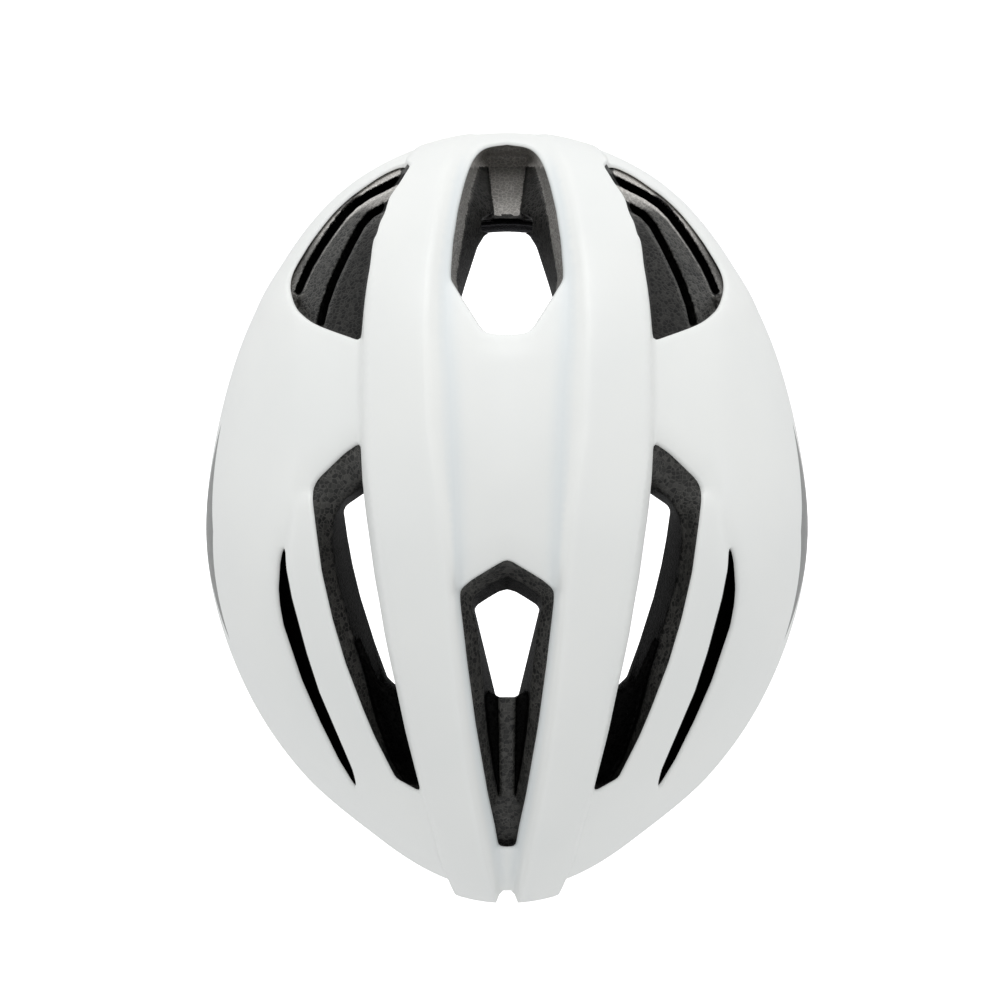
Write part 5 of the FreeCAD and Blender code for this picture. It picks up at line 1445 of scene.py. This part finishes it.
def build_soft():
    KNIT, WEB, HOOK = m_knit(), m_webbing(), m_hook()
    THREAD = m_black("thread", (0.10, 0.10, 0.105), 0.6, 5200.0, 0.4)
    side = [(-62, 20), (-58, 42), (-30, 52), (-12, 50), (-8, 38), (-12, 26), (-34, 22)]
    # length along the brow at which its plan outline ends
    t = np.linspace(0, 1.2, 1201)
    P = head_at(np.full_like(t, math.pi / 2), t, PAD0)
    s = np.concatenate([[0], np.cumsum(np.linalg.norm(np.diff(P[:, :2], axis=0), axis=1))])
    brow = [(0, -140), (30, -136), (62, -112), (78, -86), (60, -70), (30, -80), (0, -84)]
    ins = in_poly(P[:, 0], P[:, 1], brow)
    e = float(s[np.nonzero(ins)[0].max()])
    crown = Pad("crown", rrect(0, -22, 19.4, 65.4, 0, 6), [[(-9, -8), (9, -8)], [(-9, -36), (9, -36)]], 3.7)
    top = Pad("top", rrect(32, -18, 16.4, 91.4, 5, 6), [[(23, -2), (41, -1)], [(23, -36), (43, -35)]], 3.7)
    br = Pad("brow", rrect(0, 17.5, 2 * e - 0.6, 18.4, 0, 8), [[(-e * 0.36, 7), (-e * 0.36, 28)], [(e * 0.36, 7), (e * 0.36, 28)], [(-e * 0.33, 17.5), (e * 0.33, 17.5)]], 3.6)
    sd = Pad("side", side, [[(-36, 22), (-32, 52)]], 3.7)
    a0, a1 = math.radians(7) * 73.2, math.radians(25) * 73.2
    np_ = Pad("nape", rrect((a0 + a1) / 2, -30, a1 - a0 - 0.5, 21.4, 0, 5), [[(a0, -30), (a1, -30)]], 3.1)
    pads = [crown, top, br, sd, np_]
    inflate(pads)
    crown.place("crown_cushion", on_head(by_plan), "helmet", "crown_pad", KNIT)
    br.place("brow_cushion", on_head(by_band), "helmet", "brow_pad", KNIT)
    for nm, sx in (("left", 1), ("right", -1)):
        top.place("top_cushion_" + nm, on_head(by_plan, sx), "helmet", "top_pad_" + nm, KNIT)
        sd.place("side_cushion_" + nm, on_head(by_side, sx), "helmet", "side_pad_" + nm, KNIT)
        np_.place("nape_cushion_" + nm, on_ring(73.2, 14.0, sx), "cradle", "nape_pad_" + nm, KNIT)
    # hook dots between foam and pads
    V, F = [], []
    spots = [("p", 0, -42), ("p", 0, -4), ("p", 32, -48), ("p", -32, -48), ("p", 31, 6), ("p", -31, 6), ("b", 0, 17.5), ("b", 1, 17.5), ("b", -1, 17.5), ("s", -34, 36), ("s2", -34, 36)]
    sb = float(np.interp(math.radians(32), t, s))
    for kind, a, b in spots:
        if kind == "b":
            a = a * sb
        ring_r = [(0.0, 0.7), (3.0, 0.7), (5.2, 0.68), (5.8, 0.5), (6.0, 0.25), (6.0, 0.05)]
        pts, hs = [], []
        for r, h in ring_r:
            for k in range(28):
                g = 2 * math.pi * k / 28
                pts.append((a + r * math.cos(g), b + r * math.sin(g)))
                hs.append(h)
        pts = np.array(pts)
        if kind == "p":
            al, ph = by_plan(pts[:, 0], pts[:, 1])
        elif kind == "b":
            al, ph = by_band(pts[:, 0], pts[:, 1])
        else:
            al, ph = by_side(pts[:, 0], pts[:, 1])
        Q0, Q1 = head_at(al, ph, 0.0), head_at(al, ph, -1.0)
        Q = Q0 + (Q1 - Q0) * np.array(hs)[:, None]
        if kind == "s2":
            Q[:, 0] *= -1
        b0 = len(V)
        V.extend(Q.tolist())
        for r in range(len(ring_r) - 1):
            for k in range(28):
                k2 = (k + 1) % 28
                F.append((b0 + r * 28 + k, b0 + r * 28 + k2, b0 + (r + 1) * 28 + k2, b0 + (r + 1) * 28 + k))
        F.append(tuple(b0 + (len(ring_r) - 1) * 28 + k for k in range(28)))
    dots = new_mesh("hook_tape_dots", V, F)
    bm = bmesh.new()
    bm.from_mesh(dots.data)
    bmesh.ops.remove_doubles(bm, verts=bm.verts, dist=1e-6)
    bmesh.ops.recalc_face_normals(bm, faces=bm.faces)
    bm.to_mesh(dots.data)
    bm.free()
    dots.data.materials.append(HOOK)
    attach(dots, "helmet")
    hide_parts("pad_hook_dots")

    # straps
    DIV = np.array([77.5, -12.0, -39.0])
    fe, re_ = DIV + [0, -5.6, 5.0], DIV + [0, 5.6, 5.0]
    fa, ra = np.array([86.0, -40.0, 19.4]), np.array([76.0, 60.0, 4.6])
    Z = np.array([0, 0, 1.0])
    ca = lambda d: np.array([math.cos(math.radians(d)), math.sin(math.radians(d)), 0])
    hy = np.array([0, 1.0, 0])
    fpath = [fa, fa - 5 * Z, fa - 7 * Z, (fa - 6 * Z + fe + 10 * Z) / 2, fe + 10 * Z, fe + 7.3 * Z, fe]
    fh = [ca(70)] * 3 + [ca(70) * 0.5 + hy * 0.5, hy, hy, hy]
    fw = [16, 16, 16, 14, 9.6, 9.6, 9.6]
    rpath = [ra, ra - 4.6 * Z, ra - 7 * Z, ra + [1.5, -10, -14], (ra + re_) / 2 + [3.2, 0, -3], re_ + [0, 5, 14.5], re_ + 9.5 * Z, re_ + 7.3 * Z, re_]
    hb = -ca(128)
    rh = [hb, hb, hb, np.array([-0.1, 0.75, 0.45]), np.array([0, 0.55, 0.83]), np.array([0, 0.8, 0.6]), np.array([0, 0.95, 0.2]), hy, hy]
    rw = [16, 16, 16, 14, 13, 9.6, 9.6, 9.6, 9.6]
    MX = np.array([-1.0, 1, 1])

    def put(ob, body, cad, material):
        ob.data.materials.append(material)
        if body:
            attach(ob, body)
        if cad:
            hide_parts(cad)
        return ob

    for nm, m in (("left", np.ones(3)), ("right", MX)):
        o, fr = strap("front_webbing_" + nm, [p * m for p in fpath], fw, [h * m for h in fh])
        put(o, "helmet", "strap_front_" + nm, WEB)
        o, fr = strap("rear_webbing_" + nm, [p * m for p in rpath], rw, [h * m for h in rh])
        put(o, "helmet", "strap_rear_" + nm, WEB)
    de = DIV + [0, 0, -4.0]
    s0 = np.array([77.5, -12.6, -54.0])
    KA, KB = np.array([74.0, -15.5, -62.0]), np.array([60.0, -26.5, -94.0])
    cpath = [de, s0, KA, (KA + KB) / 2, KB, np.array([51.0, -31.0, -105.0]), np.array([39.0, -33.6, -111.2]), np.array([25.6, -34.0, -112.6])]
    o, fr = strap("chin_webbing_left", cpath, [16] * 8, [hy] * 8)
    put(o, "helmet", "chin_strap_left", WEB)
    L = fr[5][-1]
    put(stitches("chin_tack_left", fr, [L - 8.4, L - 9.5, L - 10.6, L - 11.7]), "helmet", None, THREAD)
    cpr = [p * MX for p in cpath[:5]] + [np.array([-53.0, -31.2, -107.0]), np.array([-42.0, -33.6, -116.2]), np.array([-27.6, -34.0, -119.0])]
    o, fr = strap("chin_webbing_right", cpr, [16] * 8, [hy] * 8)
    o.data.materials.append(WEB)
    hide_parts("chin_strap_right")
    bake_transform(o)
    L = fr[5][-1]
    put(stitches("chin_tack_right", fr, [L - 6.4, L - 7.5, L - 8.6]), "buckle_half", None, THREAD)
    # padded sleeve on the left chin strap
    pa = [KA + (KB - KA) * 0.35, KB, np.array([51.0, -31.0, -105.0]), np.array([41.0, -33.3, -110.4])]
    C, T, U, N, W, s = frames(pa, [21] * 4, [hy] * 4, 0.9)
    n = len(C)
    sec = []
    K = 36
    for i in range(n):
        e = min(s[i], s[-1] - s[i])
        puff = 0.80 + 0.20 * smooth(e / 5.0)
        rows = []
        for k in range(K):
            g = 2 * math.pi * k / K
            cx, cy = math.cos(g), math.sin(g)
            a = 10.5 * np.sign(cx) * abs(cx) ** 0.55
            h = 3.2 * puff * np.sign(cy) * abs(cy) ** 0.72
            if abs(a) > 9.1:
                h *= 0.55                                  # sewn flange along both sides
            w = 0.14 * math.sin(s[i] * 1.3 + 1.2 * math.sin(a * 0.7)) * math.cos(a * 0.45)
            rows.append((a * (0.985 + 0.015 * smooth(e / 3.0)), h + np.sign(h) * w * (abs(h) > 1.0)))
        sec.append(np.array(rows))
    V = np.concatenate([C[i] + np.outer(sec[i][:, 0], U[i]) + np.outer(sec[i][:, 1], N[i]) for i in range(n)])
    # tunnel for the webbing
    tin = []
    for i in range(n):
        rows = []
        for k in range(K):
            g = 2 * math.pi * k / K
            cx, cy = math.cos(g), math.sin(g)
            rows.append((8.5 * np.sign(cx) * abs(cx) ** 0.4, 1.35 * np.sign(cy) * abs(cy) ** 0.6))
        tin.append(np.array(rows))
    V2 = np.concatenate([C[i] + np.outer(tin[i][:, 0], U[i]) + np.outer(tin[i][:, 1], N[i]) for i in range(n)])
    F = [(i * K + j, i * K + (j + 1) % K, (i + 1) * K + (j + 1) % K, (i + 1) * K + j) for i in range(n - 1) for j in range(K)]
    o2 = n * K
    F += [(o2 + i * K + j, o2 + (i + 1) * K + j, o2 + (i + 1) * K + (j + 1) % K, o2 + i * K + (j + 1) % K) for i in range(n - 1) for j in range(K)]
    for i, flip in ((0, False), (n - 1, True)):
        for j in range(K):
            q = (i * K + j, o2 + i * K + j, o2 + i * K + (j + 1) % K, i * K + (j + 1) % K)
            F.append(q)
    slv = new_mesh("chin_sleeve", np.vstack([V, V2]), F)
    fix_normals(slv)
    put(slv, "helmet", "chin_pad", KNIT)
    # seam thread of the sleeve
    tv, tf = [], []
    for sgn in (1, -1):
        a = 2.0
        while a < s[-1] - 2.0:
            i = int(np.argmin(np.abs(s - a)))
            c = C[i] + U[i] * (sgn * 9.35)
            for sd2 in (1, -1):
                cc = c + N[i] * (sd2 * 1.42)
                b0 = len(tv)
                for q, rr in ((-1, 0.3), (-0.5, 1.0), (0.5, 1.0), (1, 0.3)):
                    for j in range(6):
                        g = j * math.pi / 3
                        tv.append(cc + T[i] * (q * 0.85) + U[i] * (0.26 * rr * math.cos(g)) + N[i] * (0.24 * rr * math.sin(g)))
                for q in range(3):
                    for j in range(6):
                        tf.append((b0 + q * 6 + j, b0 + q * 6 + (j + 1) % 6, b0 + (q + 1) * 6 + (j + 1) % 6, b0 + (q + 1) * 6 + j))
                tf.append(tuple(b0 + j for j in range(5, -1, -1)))
                tf.append(tuple(b0 + 18 + j for j in range(6)))
            a += 2.6
    so = new_mesh("sleeve_thread", tv, tf)
    fix_normals(so)
    put(so, "helmet", None, THREAD)


def dress_cad():
    """Materials for the parts that keep their own solids."""
    M = {
        "cradle_plastic": m_black("cradle_plastic", (0.026, 0.026, 0.028), 0.50, 2600.0, 0.35),
        "band_plastic": m_black("band_plastic", (0.034, 0.034, 0.037), 0.42, 1500.0, 0.15),
        "dial_plastic": m_black("dial_plastic", (0.040, 0.040, 0.043), 0.36, 2400.0, 0.2),
        "dial_rubber": m_black("dial_rubber", (0.018, 0.018, 0.019), 0.74, 4200.0, 0.5),
        "pinion_plastic": m_black("pinion_plastic", (0.62, 0.61, 0.57), 0.35, 1800.0, 0.1),
        "buckle_plastic": m_black("buckle_plastic", (0.020, 0.020, 0.022), 0.30, 2600.0, 0.18),
        "anchor_plastic": m_black("anchor_plastic", (0.055, 0.055, 0.058), 0.48, 2600.0, 0.25),
        "screw_steel": m_metal("screw_steel", (0.62, 0.62, 0.63), 0.32),
        "spring_steel": m_metal("spring_steel", (0.70, 0.70, 0.70), 0.22, (14, 1, 1)),
        "magnet": m_metal("magnet", (0.76, 0.75, 0.72), 0.16, (1, 1, 1)),
    }
    for sp in frame["record"]["subparts"]:
        ob = NODES.get(sp["node"])
        if ob is not None and sp["material_slot"] in M:
            ob.data.materials.clear()
            ob.data.materials.append(M[sp["material_slot"]])


# ------------------------------------------------------------------ stage
def area(name, loc, target, size, power, col=(1, 1, 1)):
    L = bpy.data.lights.new(name, "AREA")
    L.shape = "RECTANGLE"
    L.size, L.size_y = size
    L.energy = power
    L.color = col
    o = bpy.data.objects.new(name, L)
    bpy.context.scene.collection.objects.link(o)
    o.location = loc
    o.rotation_euler = (Vector(target) - Vector(loc)).to_track_quat("-Z", "Y").to_euler()
    return o


def stage():
    lo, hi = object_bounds()
    z = lo[2] - 0.002
    me = bpy.data.meshes.new("floor")
    s = 12.0
    me.from_pydata([(-s, -s, z), (s, -s, z), (s, s, z), (-s, s, z)], [], [(0, 1, 2, 3)])
    fl = bpy.data.objects.new("floor", me)
    bpy.context.scene.collection.objects.link(fl)
    m, nt, b, tc = mat("floor_pale")
    b.inputs["Base Color"].default_value = (0.9, 0.9, 0.9, 1)
    b.inputs["Roughness"].default_value = 0.9
    b.inputs["Emission Color"].default_value = (1, 1, 1, 1)
    lp = nt.nodes.new("ShaderNodeLightPath")
    nt.links.new(math_n(nt, "MULTIPLY_ADD", lp.outputs["Is Camera Ray"], 1.0, 0.12), b.inputs["Emission Strength"])
    n1 = noise(nt, tc, 3.0, 3.0)
    nt.links.new(ramp(nt, n1, [(0.3, (0.80, 0.80, 0.80)), (0.7, (0.84, 0.84, 0.84))]), b.inputs["Base Color"])
    me.materials.append(m)
    fl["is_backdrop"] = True
    w = bpy.data.worlds.new("studio")
    bpy.context.scene.world = w
    w.use_nodes = True
    w.node_tree.nodes["Background"].inputs[0].default_value = (0.97, 0.985, 1.0, 1)
    wn = w.node_tree
    lw = wn.nodes.new("ShaderNodeLightPath")
    wm = wn.nodes.new("ShaderNodeMath")
    wm.operation = "MULTIPLY_ADD"
    wm.inputs[1].default_value, wm.inputs[2].default_value = 0.60, 0.54
    wn.links.new(lw.outputs["Is Camera Ray"], wm.inputs[0])
    wn.links.new(wm.outputs[0], wn.nodes["Background"].inputs[1])
    area("key_top", (0.0, -0.88, 1.55), (0, -0.03, 0.08), (1.4, 0.8), 4.2)
    area("front_low", (0.0, -1.606, 0.717), (0, -0.03, 0.08), (1.4, 0.8), 10.4)
    area("fill_back", (0.0, 0.945, 1.473), (0, -0.03, 0.08), (1.4, 0.8), 2.4)
    area("back_low", (0.0, 1.57, 0.66), (0, -0.03, 0.08), (1.4, 0.6), 2.2)
    area("low_left", (1.3, 0.0, 0.25), (0, 0, 0.0), (0.9, 0.5), 1.5)
    area("low_right", (-1.3, 0.0, 0.25), (0, 0, 0.0), (0.9, 0.5), 1.5)
    cam = bpy.data.cameras.new("camera")
    cam.lens = 36.0 * 1458.0 / 363.6
    cam.sensor_width = 36.0
    cam.shift_x, cam.shift_y = -0.007, 0.020
    cam.clip_end = 50
    co = bpy.data.objects.new("camera", cam)
    bpy.context.scene.collection.objects.link(co)
    co.location = (0, 0, 1.5)
    co.rotation_euler = (0, 0, math.pi)
    bpy.context.scene.camera = co
    bpy.context.scene.view_settings.view_transform = "Standard"
    bpy.context.scene.view_settings.look = "None"


WHITE, EPS, BLACK = m_shell(), m_eps(), m_black()
shell = build_shell()
shell.data.materials.append(WHITE)
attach(shell, "helmet")
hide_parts("outer_shell")
lower = build_lower()
lower.data.materials.append(BLACK)
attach(lower, "helmet")
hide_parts("lower_shell")
foam = build_foam()
foam.data.materials.append(EPS)
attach(foam, "helmet")
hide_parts("foam_liner")
build_soft()
dress_cad()
stage()
for o in (shell, foam, lower):
    print("PIECE", o.name, len(o.data.vertices), len(o.data.polygons))
